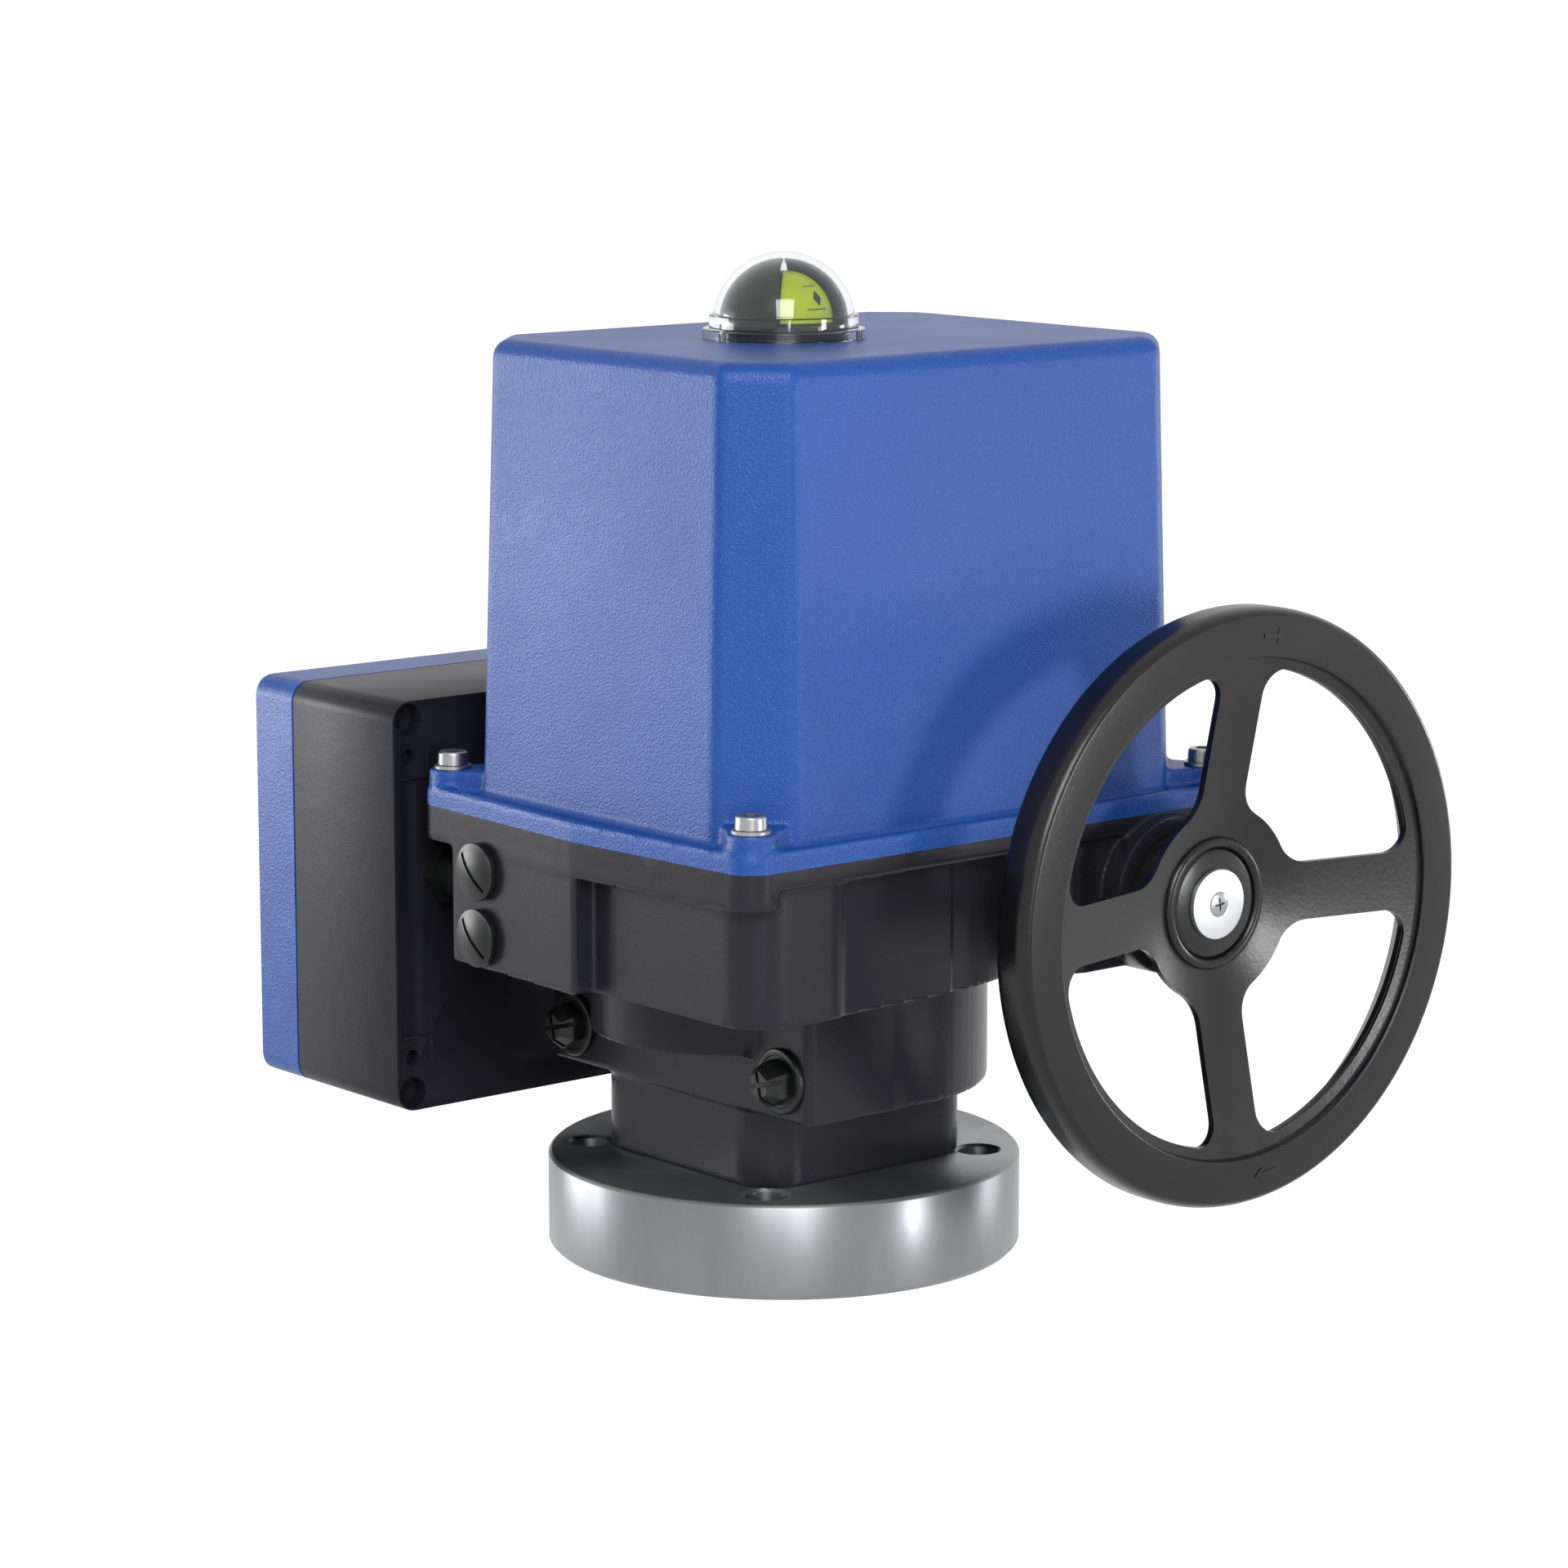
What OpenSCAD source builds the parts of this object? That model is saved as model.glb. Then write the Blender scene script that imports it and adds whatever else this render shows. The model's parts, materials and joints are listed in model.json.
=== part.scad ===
// Quarter-turn electric valve actuator with a worm gearbox, a motor cover and a handwheel.
// Origin at the centre of the valve face, +Z up the output axis, handwheel towards -Y.

/* [Valve interface] */
// Radius of the steel adapter disc
disc_r = 100; // [96:1:110]
// Thickness of the adapter disc
disc_h = 40; // [36:1:50]
// Diameter of the circle of threaded valve holes
valve_circle_d = 165; // [164:0.5:170]
// Core radius of the valve holes
valve_hole_r = 8.75; // [7.5:0.25:9]
// Side of the square drive socket
square_side = 46; // [36:1:48]
// Radius of the drive bush round the square
drive_bush_r = 37; // [36:0.5:38]
// Length of the drive bush
drive_bush_h = 96; // [80:1:100]

/* [Housing] */
// Side of the square foot
foot_w = 115; // [114:1:122]
// Corner radius of the foot
foot_corner_r = 18.5; // [12:0.5:22]
// Height of the foot
foot_h = 33; // [31:1:40]
// Outer radius of the stop chamber
stop_case_r = 86; // [85:0.5:92]
// Height of the stop chamber
stop_case_h = 50; // [48:1:60]
// Distance from the output axis to the face of the stop screws
stop_face_x = 58.5; // [58:0.5:64]
// Half width of the stop chamber's square side
stop_half_w = 85; // [82:0.5:90]
// Height of the worm gear case with its rim
case_h = 63.5; // [62:0.5:72]
// Outer radius of the case round the worm wheel
case_r = 102; // [98:0.5:104]
// Distance from the output axis to the left wall of the case
case_left_x = 108; // [106:0.5:110]
// Distance from the output axis to the front wall of the case
case_front_y = 110; // [108:0.5:112]
// Radius of the bulge under the case
drum_r = 60; // [50:1:70]
// Thickness of the casting's walls and floors
case_wall = 5; // [4:0.5:7]
// Depth of the rim under the parting plane
rim_h = 7.5; // [6:0.5:12]
// Depth of the rim on the conduit side and of the corner lugs
lug_depth = 15; // [12:0.5:20]

/* [Worm drive] */
// Gear module of the worm and its wheel
worm_module = 3; // [2.8:0.05:3.1]
// Teeth of the worm wheel
wheel_teeth = 57; // [55:1:58]
// Distance between the worm's axis and the output axis
centre_distance = 111.7; // [111:0.1:113]
// Depth of the worm's axis below the parting plane
worm_drop = 34.1; // [34:0.1:38]
// Face width of the worm wheel
wheel_face = 26; // [20:1:30]
// Length of the worm's thread
thread_len = 80; // [60:1:84]
// Outer radius of the output sleeve
sleeve_r = 46; // [45:0.5:47]
// Radius of the sleeve's upper journal
journal_r = 30; // [24:1:32]
// Wall of the bronze bushes
bush_t = 4; // [3:0.5:5]

/* [Motor drive] */
// Module of the spur gears
spur_module = 1.5; // [1.4:0.05:1.6]
// Teeth of the gear on the worm shaft
worm_gear_teeth = 28; // [26:1:29]
// Teeth of the idler gear
idler_teeth = 32; // [31:1:33]
// Teeth of the motor's pinion
pinion_teeth = 20; // [18:1:22]
// Face width of the spur gears
spur_face = 12; // [8:1:14]
// Lean of the pinion from above the idler, in degrees
pinion_lean = 24; // [20:1:26]
// Radius of the motor
motor_r = 38; // [30:1:38]
// Length of the motor
motor_len = 96; // [80:1:104]
// Radius of the gearhead
gearhead_r = 33; // [24:1:33]
// Length of the gearhead
gearhead_len = 32; // [24:1:36]

/* [Handwheel] */
// Radius of the handwheel
wheel_r = 125; // [110:1:140]
// Distance from the output axis to the front of the rim
wheel_front_y = 164; // [162:0.5:172]
// Depth of the rim
rim_depth = 20.5; // [18:0.5:24]
// Radial width of the rim
rim_w = 25; // [20:0.5:28]
// Width of the spokes
spoke_w = 24.5; // [18:0.5:30]
// Radius of the plate round the hub
hub_plate_r = 41; // [36:1:46]
// Radius of the shaft's end in the hub
hub_bore_r = 9; // [7:0.5:9.5]

/* [Cover] */
// Spacing of the cover screws along X
cover_span_x = 247.6; // [245:0.2:252]
// Spacing of the cover screws along Y
cover_span_y = 196.9; // [195:0.2:202]
// Radius of the corner lugs
lug_r = 11; // [10:0.5:12]
// Height of the cover's bolting lip
lip_h = 8.3; // [6:0.1:11]
// Height of the lugs above the parting plane
cover_lug_h = 15; // [12:0.5:22]
// Height of the cover above the parting plane
cover_h = 196.5; // [190:0.5:230]
// Ledge between the lip's edge and the cover's wall
ledge_w = 10; // [8:0.5:10.5]
// Draft of the cover's walls in degrees
cover_draft = 1.7; // [0.5:0.1:2.5]
// Leg of the corner chamfers at the base
corner_leg = 23.5; // [18:0.5:26]
// Radius of the cover's top edge
top_edge_r = 7; // [4:0.5:9]
// Wall of the cover
cover_wall = 5; // [4:0.5:5]
// Thread radius of the cover screws
cover_screw_r = 4; // [3:0.5:4.5]

/* [Position dome] */
// Radius of the dome's base flange
dome_base_r = 33.7; // [33:0.1:38]
// Radius of the clear dome
dome_r = 29.6; // [29:0.1:31]
// Height of the dome above the cover
dome_h = 35.5; // [33:0.5:40]
// Wall of the clear dome
dome_wall = 2.6; // [2:0.1:3]
// Radius of the turning marker
marker_r = 20.3; // [16:0.1:21]

/* [Control enclosure] */
// Width of the enclosure along X
box_w = 250; // [230:1:280]
// Height of the enclosure
box_h = 177.5; // [165:0.5:200]
// Depth of the enclosure's base
box_base_d = 74.2; // [60:0.1:90]
// Depth of the enclosure's lid
box_lid_d = 30; // [20:0.5:40]
// Left end of the enclosure
box_left_x = 118.7; // [115:0.1:125]
// Bottom of the enclosure above the valve face
box_z0 = 50.7; // [46:0.1:56]
// Gap between the case and the enclosure
box_gap = 9; // [7:0.5:14]
// Wall of the enclosure
box_wall = 4; // [3:0.5:6]
// Radius of the enclosure's long edges
box_edge_r = 9; // [6:0.5:12]

/* [Clearances] */
// Radial clearance of running fits
run_gap = 0.05; // [0.02:0.01:0.09]
// Gap between pieces that seat on each other with play
seat_gap = 0.3; // [0.1:0.05:0.4]
// Relief of each gear flank
flank_gap = 0.14; // [0.1:0.01:0.2]

/* [Hidden] */
$fn = 72;

cast_grey = "#3d3d42";
cover_blue = "#1c56af";
steel = "#9aa0a6";
bright = "#c9ccd0";
bronze = "#b08a45";
black_part = "#1c1c1e";
rubber = "#222222";

z_foot = disc_h;
z_stop = z_foot + foot_h;
z_case = z_stop + stop_case_h;
z_part = z_case + case_h;
worm_z = z_part - worm_drop;
worm_x = centre_distance;

wheel_pitch_r = worm_module * wheel_teeth / 2;
worm_pitch_r = centre_distance - wheel_pitch_r;
addendum = worm_module;
dedendum = 1.25 * worm_module;
wheel_tip_r = wheel_pitch_r + addendum;
worm_tip_r = worm_pitch_r + addendum;
worm_root_r = worm_pitch_r - dedendum;
worm_lead = PI * worm_module;
pressure_angle = 20;

stop_z = z_stop + 16.5;
stop_screw_y = 68.6;
stop_screw_r = 6;
quadrant_t = 14;
quadrant_ring_r = sleeve_r + 6;
stop_wall = 4.2;
chamber_r = wheel_tip_r + 1.5;
stop_chamber_r = stop_case_r - case_wall - 0.5;
quadrant_r = stop_chamber_r - 1.5;
stop_floor_z = z_stop + case_wall;

lower_bush_r = sleeve_r + bush_t;
upper_bush_r = journal_r + bush_t;
thrust_t = 2.4;
sleeve_z0 = disc_h + 1;
seal_h = 6;
bush_z0 = sleeve_z0 + seal_h + 1;
bush_top = stop_z - quadrant_t / 2 - seat_gap;
hub_face = wheel_face + 4;
wheel_hub_z0 = worm_z - hub_face / 2;
wheel_hub_r = sleeve_r + 12;
sleeve_shoulder_z = worm_z + hub_face / 2 + 1.6;
sleeve_top = z_part + 1.5;
key_w = 12;
key_h = 8;

lug_cx = 21.7;
lug_cy = -3.45;
lug_x0 = lug_cx - cover_span_x / 2;
lug_x1 = lug_cx + cover_span_x / 2;
lug_y0 = lug_cy - cover_span_y / 2;
lug_y1 = lug_cy + cover_span_y / 2;
rim_x0 = lug_x0 - lug_r;
rim_x1 = lug_x1 + lug_r;
rim_y0 = lug_y0 - lug_r;
rim_y1 = lug_y1 + lug_r;
gable = 5.5;
gable_y = -7;
pad_y0 = -8.9;
pad_y1 = 81;

block_x0 = 64;
block_x1 = rim_x1 - 6.5;
back_y = rim_y1 - 8;
front_corner_r = 17.5;

boss_r = 33.4;
boss_len = 11.5;
boss_y = case_front_y + boss_len;
front_bearing_r = 26;
front_shaft_r = 10;
front_bearing_w = 15;
front_bearing_y = boss_y - 9.5;
rear_bearing_r = 31;
rear_shaft_r = 12.5;
rear_bearing_w = 17;
rear_bearing_y = rim_y1 - 2 - rear_bearing_w;
end_cover_t = 4;
end_cover_half = 33;
end_cover_screw = end_cover_half - 7.5;
worm_chamber_r = worm_tip_r + 1;
worm_chamber_y0 = 90;
worm_chamber_y1 = 78;

gear_y = 60;
worm_gear_r = spur_module * worm_gear_teeth / 2;
idler_r = spur_module * idler_teeth / 2;
pinion_r = spur_module * pinion_teeth / 2;
gear_seat_r = 12;
plate_t = 6;
plate_z = z_part + plate_t;
plate_inset = ledge_w + cover_wall + 0.5;
plate_x0 = rim_x0 + plate_inset;
plate_y0 = rim_y0 + plate_inset;
plate_y1 = rim_y1 - plate_inset;
plate_screw_r = 3;
idler_z = worm_z + worm_gear_r + idler_r;
idler_x = worm_x;
pinion_z = idler_z + (idler_r + pinion_r) * cos(pinion_lean);
pinion_x = idler_x - (idler_r + pinion_r) * sin(pinion_lean);
idler_pin_r = 4;
motor_shaft_r = 6;
bracket_t = 6;
bracket_y = gear_y - 10;
spigot_r = 14;
window_half = idler_r + spur_module + 1;
gear_well_x0 = worm_x - window_half;
gear_well_w = 2 * window_half;
plate_screw_depth = 5;
plate_screw_x = 32;
plate_screw_y = 29;
plate_screw_at = [[rim_x0 + plate_screw_x, rim_y0 + plate_screw_y],
    [rim_x1 - plate_screw_x, rim_y0 + plate_screw_y], [60, rim_y0 + plate_screw_y],
    [rim_x0 + plate_screw_x, rim_y1 - plate_screw_y], [gear_well_x0 - 9, rim_y1 - plate_screw_y + 6]];

plug_y = 58.1;
plug_z = [z_part - 22.3, z_part - 50.2];
plug_r = 12.3;
plug_face_x = -116.6;
plug_bore_r = 10;
duct_x = -88;
duct_r = 7;

cover_top = z_part + cover_h;
cover_inner_top = cover_top - cover_wall;
wall_corner_r = 5;
washer_t = 1.6;
washer_r = 8;
screw_head_r = 6.5;
screw_head_h = 5;
cover_screw_len = cover_lug_h + washer_t + 12;
seal_inset = 10.6;
seal_w = 2.8;
seal_t = 2.6;
seal_leg = 15;

collar_r = dome_r + 1.4;
collar_h = 5.8;
dome_base_h = 4;
dome_cz = cover_top + dome_h - dome_r;
dome_inner_r = dome_r - dome_wall;
spigot_out_r = dome_r - 0.6;
spigot_in_r = dome_inner_r - 3;
nut_h = 5;
marker_z = cover_top + 7.3;
marker_plate_t = 2;
marker_skin = 1.5;
mask_gap = 0.2;
mask_t = 1.5;
shaft_r = 7;
shaft_tip_r = 5;

box_x0 = -box_left_x;
box_x1 = box_x0 + box_w;
box_y0 = rim_y1 + box_gap;
box_y1 = box_y0 + box_base_d;
box_y2 = box_y1 + box_lid_d;
box_z1 = box_z0 + box_h;
box_corner = 8;
lid_screw_r = 3;
mount_r = 7;
mount_x = [-68, worm_x - end_cover_half - mount_r - 0.7];
mount_z = [worm_z - 16, worm_z + 17];
mount_screw_r = 4;
nipple_x = -90;
nipple_z = worm_z;
nipple_r = 10;
board_y = box_y0 + box_wall + 8;
board_x0 = box_x0 + 45;
board_w = box_w - 100;
board_z0 = box_z0 + 30;
board_h = box_h - 59.5;
keyhole_z = [box_z0 + 23.2, box_z1 - 24];

wheel_back = wheel_front_y - rim_depth;
rim_in_r = wheel_r - rim_w;
hub_face_y = 144;
hub_back_y = boss_y + 1.5;
hub_r = 28;
cap_r = 14.75;
cap_t = 2.5;

// Outline helpers

module round_rect(x0, x1, y0, y1, r) {
    translate([x0 + r, y0]) square([x1 - x0 - 2 * r, y1 - y0]);
    translate([x0, y0 + r]) square([x1 - x0, y1 - y0 - 2 * r]);
    for (x = [x0 + r, x1 - r], y = [y0 + r, y1 - r])
        translate([x, y]) circle(r);
}

module rim_outline() {
    round_rect(rim_x0, rim_x1, rim_y0, rim_y1, lug_r);
    polygon([[rim_x0 + 1, lug_y0], [rim_x0, lug_y0], [rim_x0 - gable, gable_y], [rim_x0, lug_y1],
        [rim_x0 + 1, lug_y1]]);
}

// Points of the rim's rectangle set in by a distance, with 45 degree corners of a given leg
function oct(inset, leg) = let(x0 = rim_x0 + inset, x1 = rim_x1 - inset, y0 = rim_y0 + inset,
    y1 = rim_y1 - inset) [[x0 + leg, y0], [x1 - leg, y0], [x1, y0 + leg], [x1, y1 - leg],
    [x1 - leg, y1], [x0 + leg, y1], [x0, y1 - leg], [x0, y0 + leg]];

// A leg shrinks by this share of the inset, so that the faces stay parallel
leg_share = 2 - sqrt(2);
function wall_leg(inset) = corner_leg - leg_share * (inset - ledge_w);

module at_lugs() {
    for (x = [lug_x0, lug_x1], y = [lug_y0, lug_y1]) translate([x, y, 0]) children();
}

// Turns the children's z axis to -Y and puts its zero at the given y
module along_y(x, y, z) { translate([x, y, z]) rotate([90, 0, 0]) children(); }

// Gears

function involute(a) = tan(a) * 180 / PI - a;
function half_angle(m, n, gap, r) = let(rp = m * n / 2, rb = rp * cos(pressure_angle),
    a = acos(rb / max(r, rb))) (PI * m / 4 - gap) / rp * 180 / PI + involute(pressure_angle) - involute(a);
function tooth(m, n, gap) = let(rp = m * n / 2, radii = [rp - 1.25 * m, rp, rp + m])
    concat([for (r = radii) [r, -half_angle(m, n, gap, r)]],
    [for (i = [2:-1:0]) [radii[i], half_angle(m, n, gap, radii[i])]]);
function gear_points(m, n, gap) = [for (i = [0:n - 1], p = tooth(m, n, gap))
    p[0] * [cos(360 * i / n + p[1]), sin(360 * i / n + p[1])]];

// Phase of a gear of n2 teeth that meshes with one of n1 teeth turned to phase, at a bearing from it
function mesh_phase(n1, phase, n2, bearing) = bearing + 180 - (n1 * (phase - bearing) + 180) / n2;
worm_gear_phase = 90;
idler_phase = mesh_phase(worm_gear_teeth, worm_gear_phase, idler_teeth, 90);
pinion_phase = mesh_phase(idler_teeth, idler_phase, pinion_teeth, 90 + pinion_lean);

module spur_gear(teeth, bore) {
    linear_extrude(spur_face) difference() {
        polygon(gear_points(spur_module, teeth, flank_gap / 2));
        circle(bore);
    }
}

// Helical thread of the worm along z, as one strip swept round the core
thread_steps = 24;
function thread_half(r) = PI * worm_module / 4 - flank_gap - (r - worm_pitch_r) * tan(pressure_angle);
function thread_section(a) = let(r0 = worm_root_r - 0.4, z = worm_lead * a / 360)
    [for (p = [[r0, -1], [worm_tip_r, -1], [worm_tip_r, 1], [r0, 1]])
        [p[0] * cos(a), p[0] * sin(a), z + p[1] * thread_half(p[0])]];
module worm_thread() {
    turns = floor(thread_len / worm_lead);
    n = turns * thread_steps;
    points = [for (i = [0:n], p = thread_section(360 * (i - n / 2) / thread_steps)) p];
    sides = [for (i = [0:n - 1], k = [0:3]) let(j = (k + 1) % 4)
        [4 * i + k, 4 * i + j, 4 * i + 4 + j, 4 * i + 4 + k]];
    polyhedron(points, concat([[3, 2, 1, 0]], sides, [[4 * n, 4 * n + 1, 4 * n + 2, 4 * n + 3]]), 10);
}

// Valve interface

flange_screw_circle_d = 120;
flange_screw_r = 6;
flange_head_r = 9;
flange_head_h = 12;
module corner_ring(r) {
    for (a = [45:90:315]) rotate([0, 0, a]) translate([r, 0, 0]) children();
}

module adapter_flange() {
    bore_r = drive_bush_r + 5;
    edge = 2;
    color(steel) difference() {
        rotate_extrude($fn = 128) polygon([[bore_r, 0], [disc_r - edge / 2, 0], [disc_r, edge / 2],
            [disc_r, disc_h - edge], [disc_r - edge, disc_h], [bore_r, disc_h]]);
        corner_ring(valve_circle_d / 2) translate([0, 0, -1]) cylinder(h = disc_h + 2, r = valve_hole_r);
        corner_ring(flange_screw_circle_d / 2) {
            translate([0, 0, -1]) cylinder(h = disc_h + 2, r = flange_screw_r + 0.5);
            translate([0, 0, -1]) cylinder(h = flange_head_h + 3, r = flange_head_r + 0.7);
        }
    }
}

module flange_screws() {
    color(bright) corner_ring(flange_screw_circle_d / 2) difference() {
        union() {
            translate([0, 0, 2]) cylinder(h = flange_head_h, r = flange_head_r);
            translate([0, 0, 2]) cylinder(h = disc_h + 17, r = flange_screw_r);
        }
        cylinder(h = 8, r = 5.8, $fn = 6);
    }
}

// Housing

module foot_outline() {
    round_rect(-foot_w / 2, foot_w / 2, -foot_w / 2, foot_w / 2, foot_corner_r);
}

module stop_outline(r, left_x, half_w, edge_r) {
    intersection() {
        union() {
            circle(r);
            round_rect(-left_x, 0, -half_w, half_w, edge_r);
        }
        translate([-left_x, -2 * r]) square([left_x + 2 * r, 4 * r]);
    }
}

module case_outline() {
    slant_y = case_front_y - 7;
    circle(case_r);
    round_rect(-case_left_x, -55, -case_front_y, back_y, front_corner_r);
    polygon([[-case_left_x + front_corner_r, -case_front_y], [2.5, -slant_y], [0, 0],
        [-case_left_x + front_corner_r, 0]]);
    round_rect(block_x0, block_x1, -case_front_y, rim_y1, 6);
}

module housing_body() {
    translate([0, 0, z_foot]) linear_extrude(foot_h + 1) foot_outline();
    translate([0, 0, z_stop]) linear_extrude(stop_case_h + 1)
        stop_outline(stop_case_r, stop_face_x, stop_half_w, 3);
    translate([-27.5, 0, z_case - 26.3]) cylinder(h = 27, r = drum_r);
    translate([0, 0, z_case]) linear_extrude(case_h) case_outline();
    translate([0, 0, z_part - rim_h]) linear_extrude(rim_h) rim_outline();
    translate([0, 0, z_part - lug_depth]) linear_extrude(lug_depth) intersection() {
        rim_outline();
        translate([rim_x0 - 10, lug_y0]) square([30, cover_span_y]);
    }
    translate([0, 0, z_case]) linear_extrude(case_h) intersection() {
        rim_outline();
        translate([rim_x0 - 10, pad_y0]) square([40, pad_y1 - pad_y0]);
    }
    at_lugs() translate([0, 0, z_part - lug_depth]) cylinder(h = lug_depth, r = lug_r);
    along_y(worm_x, rim_y1, worm_z) cylinder(h = rim_y1 + boss_y, r = boss_r);
}

module housing_bores() {
    translate([0, 0, z_foot - 1]) cylinder(h = stop_floor_z - z_foot + 2, r = lower_bush_r + run_gap);
    translate([0, 0, stop_floor_z]) linear_extrude(z_case - stop_floor_z + 10)
        stop_outline(stop_chamber_r, stop_face_x - stop_wall, 1, 0.4);
    translate([0, 0, z_case + case_wall - 1.5]) cylinder(h = case_h, r = chamber_r);
    along_y(worm_x, worm_chamber_y1, worm_z)
        cylinder(h = worm_chamber_y0 + worm_chamber_y1, r = worm_chamber_r);
    translate([gear_well_x0, gear_y - 6, worm_z])
        cube([gear_well_w, worm_chamber_y1 + 2 - gear_y + 6, worm_drop + 1]);
    along_y(worm_x, -worm_chamber_y0 + 1, worm_z) cylinder(h = boss_y, r = front_bearing_r - 5);
    along_y(worm_x, -front_bearing_y + front_bearing_w, worm_z)
        cylinder(h = boss_y, r = front_bearing_r + run_gap);
    along_y(worm_x, -boss_y + 5, worm_z) cylinder(h = 6, r = boss_r - 6);
    along_y(worm_x, rim_y1 + 1, worm_z)
        cylinder(h = rim_y1 + 2 - worm_chamber_y1, r = rear_bearing_r + run_gap);
}

module housing_holes() {
    corner_ring(flange_screw_circle_d / 2) translate([0, 0, z_foot - 1])
        cylinder(h = 22, r = flange_screw_r + run_gap);
    for (y = [-stop_screw_y, stop_screw_y]) translate([-stop_face_x - 1, y, stop_z]) rotate([0, 90, 0])
        cylinder(h = stop_face_x - 5, r = stop_screw_r + run_gap);
    for (z = plug_z) translate([rim_x0 - gable - 1, plug_y, z]) rotate([0, 90, 0]) {
        cylinder(h = duct_x - rim_x0 + gable + 1, r = plug_bore_r + run_gap);
        cylinder(h = plug_face_x - rim_x0 + gable + 1, r = plug_r + 2.2);
    }
    translate([duct_x, plug_y, plug_z[1]]) cylinder(h = case_h, r = duct_r);
    along_y(nipple_x, back_y + 1, nipple_z) cylinder(h = 6, r = nipple_r + run_gap);
    along_y(nipple_x, back_y + 1, nipple_z) cylinder(h = back_y - plug_y, r = duct_r);
    at_lugs() translate([0, 0, z_part - 13]) cylinder(h = 14, r = cover_screw_r + run_gap);
    at_plate_screws() translate([0, 0, z_part - plate_screw_depth - 0.3])
        cylinder(h = 8, r = plate_screw_r + run_gap);
    for (z = mount_z) {
        along_y(mount_x[0], back_y + 1, z) cylinder(h = 15, r = mount_screw_r + run_gap);
        along_y(mount_x[1], rim_y1 + 1, z) cylinder(h = 15, r = mount_screw_r + run_gap);
    }
    bearing_cover_spots() cylinder(h = 12, r = 2 + run_gap);
    translate([0, 0, z_part - seal_t]) linear_extrude(seal_t + 1) seal_outline(0.1);
}

module gear_housing() {
    color(cast_grey) difference() {
        housing_body();
        housing_bores();
        housing_holes();
    }
}

module at_plate_screws() {
    for (p = plate_screw_at) translate(p) children();
}

module conduit_plugs() {
    head = 3;
    color(black_part) for (z = plug_z) translate([plug_face_x - 1.2, plug_y, z]) rotate([0, 90, 0])
        difference() {
            rotate_extrude() polygon([[0, -4.4], [6, -4.1], [9.6, -3.4], [plug_r - 0.6, -2.4], [plug_r, -1.8],
                [plug_r, 0], [plug_bore_r, 0], [plug_bore_r, 14], [0, 14]]);
            rotate([0, 0, -45]) translate([-10, -0.9, -6]) cube([20, 1.8, head]);
        }
}

module plug_seals() {
    color(rubber) for (z = plug_z) translate([plug_face_x - 1.2, plug_y, z]) rotate([0, 90, 0])
        difference() {
            cylinder(h = 1.2, r = plug_r - 1);
            translate([0, 0, -1]) cylinder(h = 4, r = plug_bore_r + run_gap);
        }
}

module stop_screws() {
    color(steel) for (y = [-stop_screw_y, stop_screw_y]) translate([-stop_face_x - 6, y, stop_z])
        rotate([0, 90, 0]) cylinder(h = stop_face_x + 6 - seat_gap, r = stop_screw_r);
}

module stop_caps() {
    af = 17;
    hex_r = af / sqrt(3);
    color(black_part) for (y = [-stop_screw_y, stop_screw_y]) translate([-stop_face_x, y, stop_z])
        rotate([0, -90, 0]) difference() {
            union() {
                cylinder(h = 2.6, r = 13.75);
                cylinder(h = 7.5, r = hex_r, $fn = 6);
                translate([0, 0, 7.5]) cylinder(h = 5, r1 = hex_r, r2 = hex_r * 0.62, $fn = 6);
            }
            translate([0, 0, -1]) cylinder(h = 7.3, r = stop_screw_r + 0.3);
            for (a = [15, 105]) rotate([0, 0, a]) translate([-af, -0.9, 7.8]) cube([2 * af, 1.8, 6]);
        }
}

// Output drive

module ring(r0, r1, z0, z1) {
    translate([0, 0, z0]) linear_extrude(z1 - z0) difference() {
        circle(r1);
        circle(r0);
    }
}

module lower_bush() {
    color(bronze) rotate_extrude() polygon([[sleeve_r + run_gap, bush_z0], [lower_bush_r, bush_z0],
        [lower_bush_r, stop_floor_z], [lower_bush_r + 2, stop_floor_z], [lower_bush_r + 2, bush_top],
        [sleeve_r + run_gap, bush_top]]);
}

module upper_bush() {
    z0 = sleeve_shoulder_z + seat_gap;
    color(bronze) rotate_extrude() polygon([[journal_r + run_gap, z0], [upper_bush_r + 5, z0],
        [upper_bush_r + 5, z0 + thrust_t], [upper_bush_r, z0 + thrust_t], [upper_bush_r, plate_z],
        [journal_r + run_gap, plate_z]]);
}

module sleeve_seal() {
    color(rubber) ring(sleeve_r + run_gap, lower_bush_r, sleeve_z0, sleeve_z0 + seal_h);
}

module output_sleeve() {
    bore_r = drive_bush_r + run_gap;
    quadrant_top = stop_z + quadrant_t / 2;
    color(steel) difference() {
        rotate_extrude() polygon([[bore_r, sleeve_z0], [sleeve_r, sleeve_z0], [sleeve_r, quadrant_top],
            [sleeve_r + 3, quadrant_top], [sleeve_r + 6, quadrant_top + 12], [sleeve_r + 6, wheel_hub_z0],
            [sleeve_r, wheel_hub_z0], [sleeve_r, sleeve_shoulder_z], [journal_r, sleeve_shoulder_z],
            [journal_r, sleeve_top], [shaft_r + run_gap, sleeve_top], [shaft_r + run_gap, sleeve_top - 20],
            [0, sleeve_top - 20], [0, sleeve_z0 + drive_bush_h], [bore_r, sleeve_z0 + drive_bush_h]]);
        key_slot();
    }
}

module key_slot() {
    translate([-sleeve_r - key_h / 2, -key_w / 2, wheel_hub_z0 + 2]) cube([key_h, key_w, hub_face - 4]);
}

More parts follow.
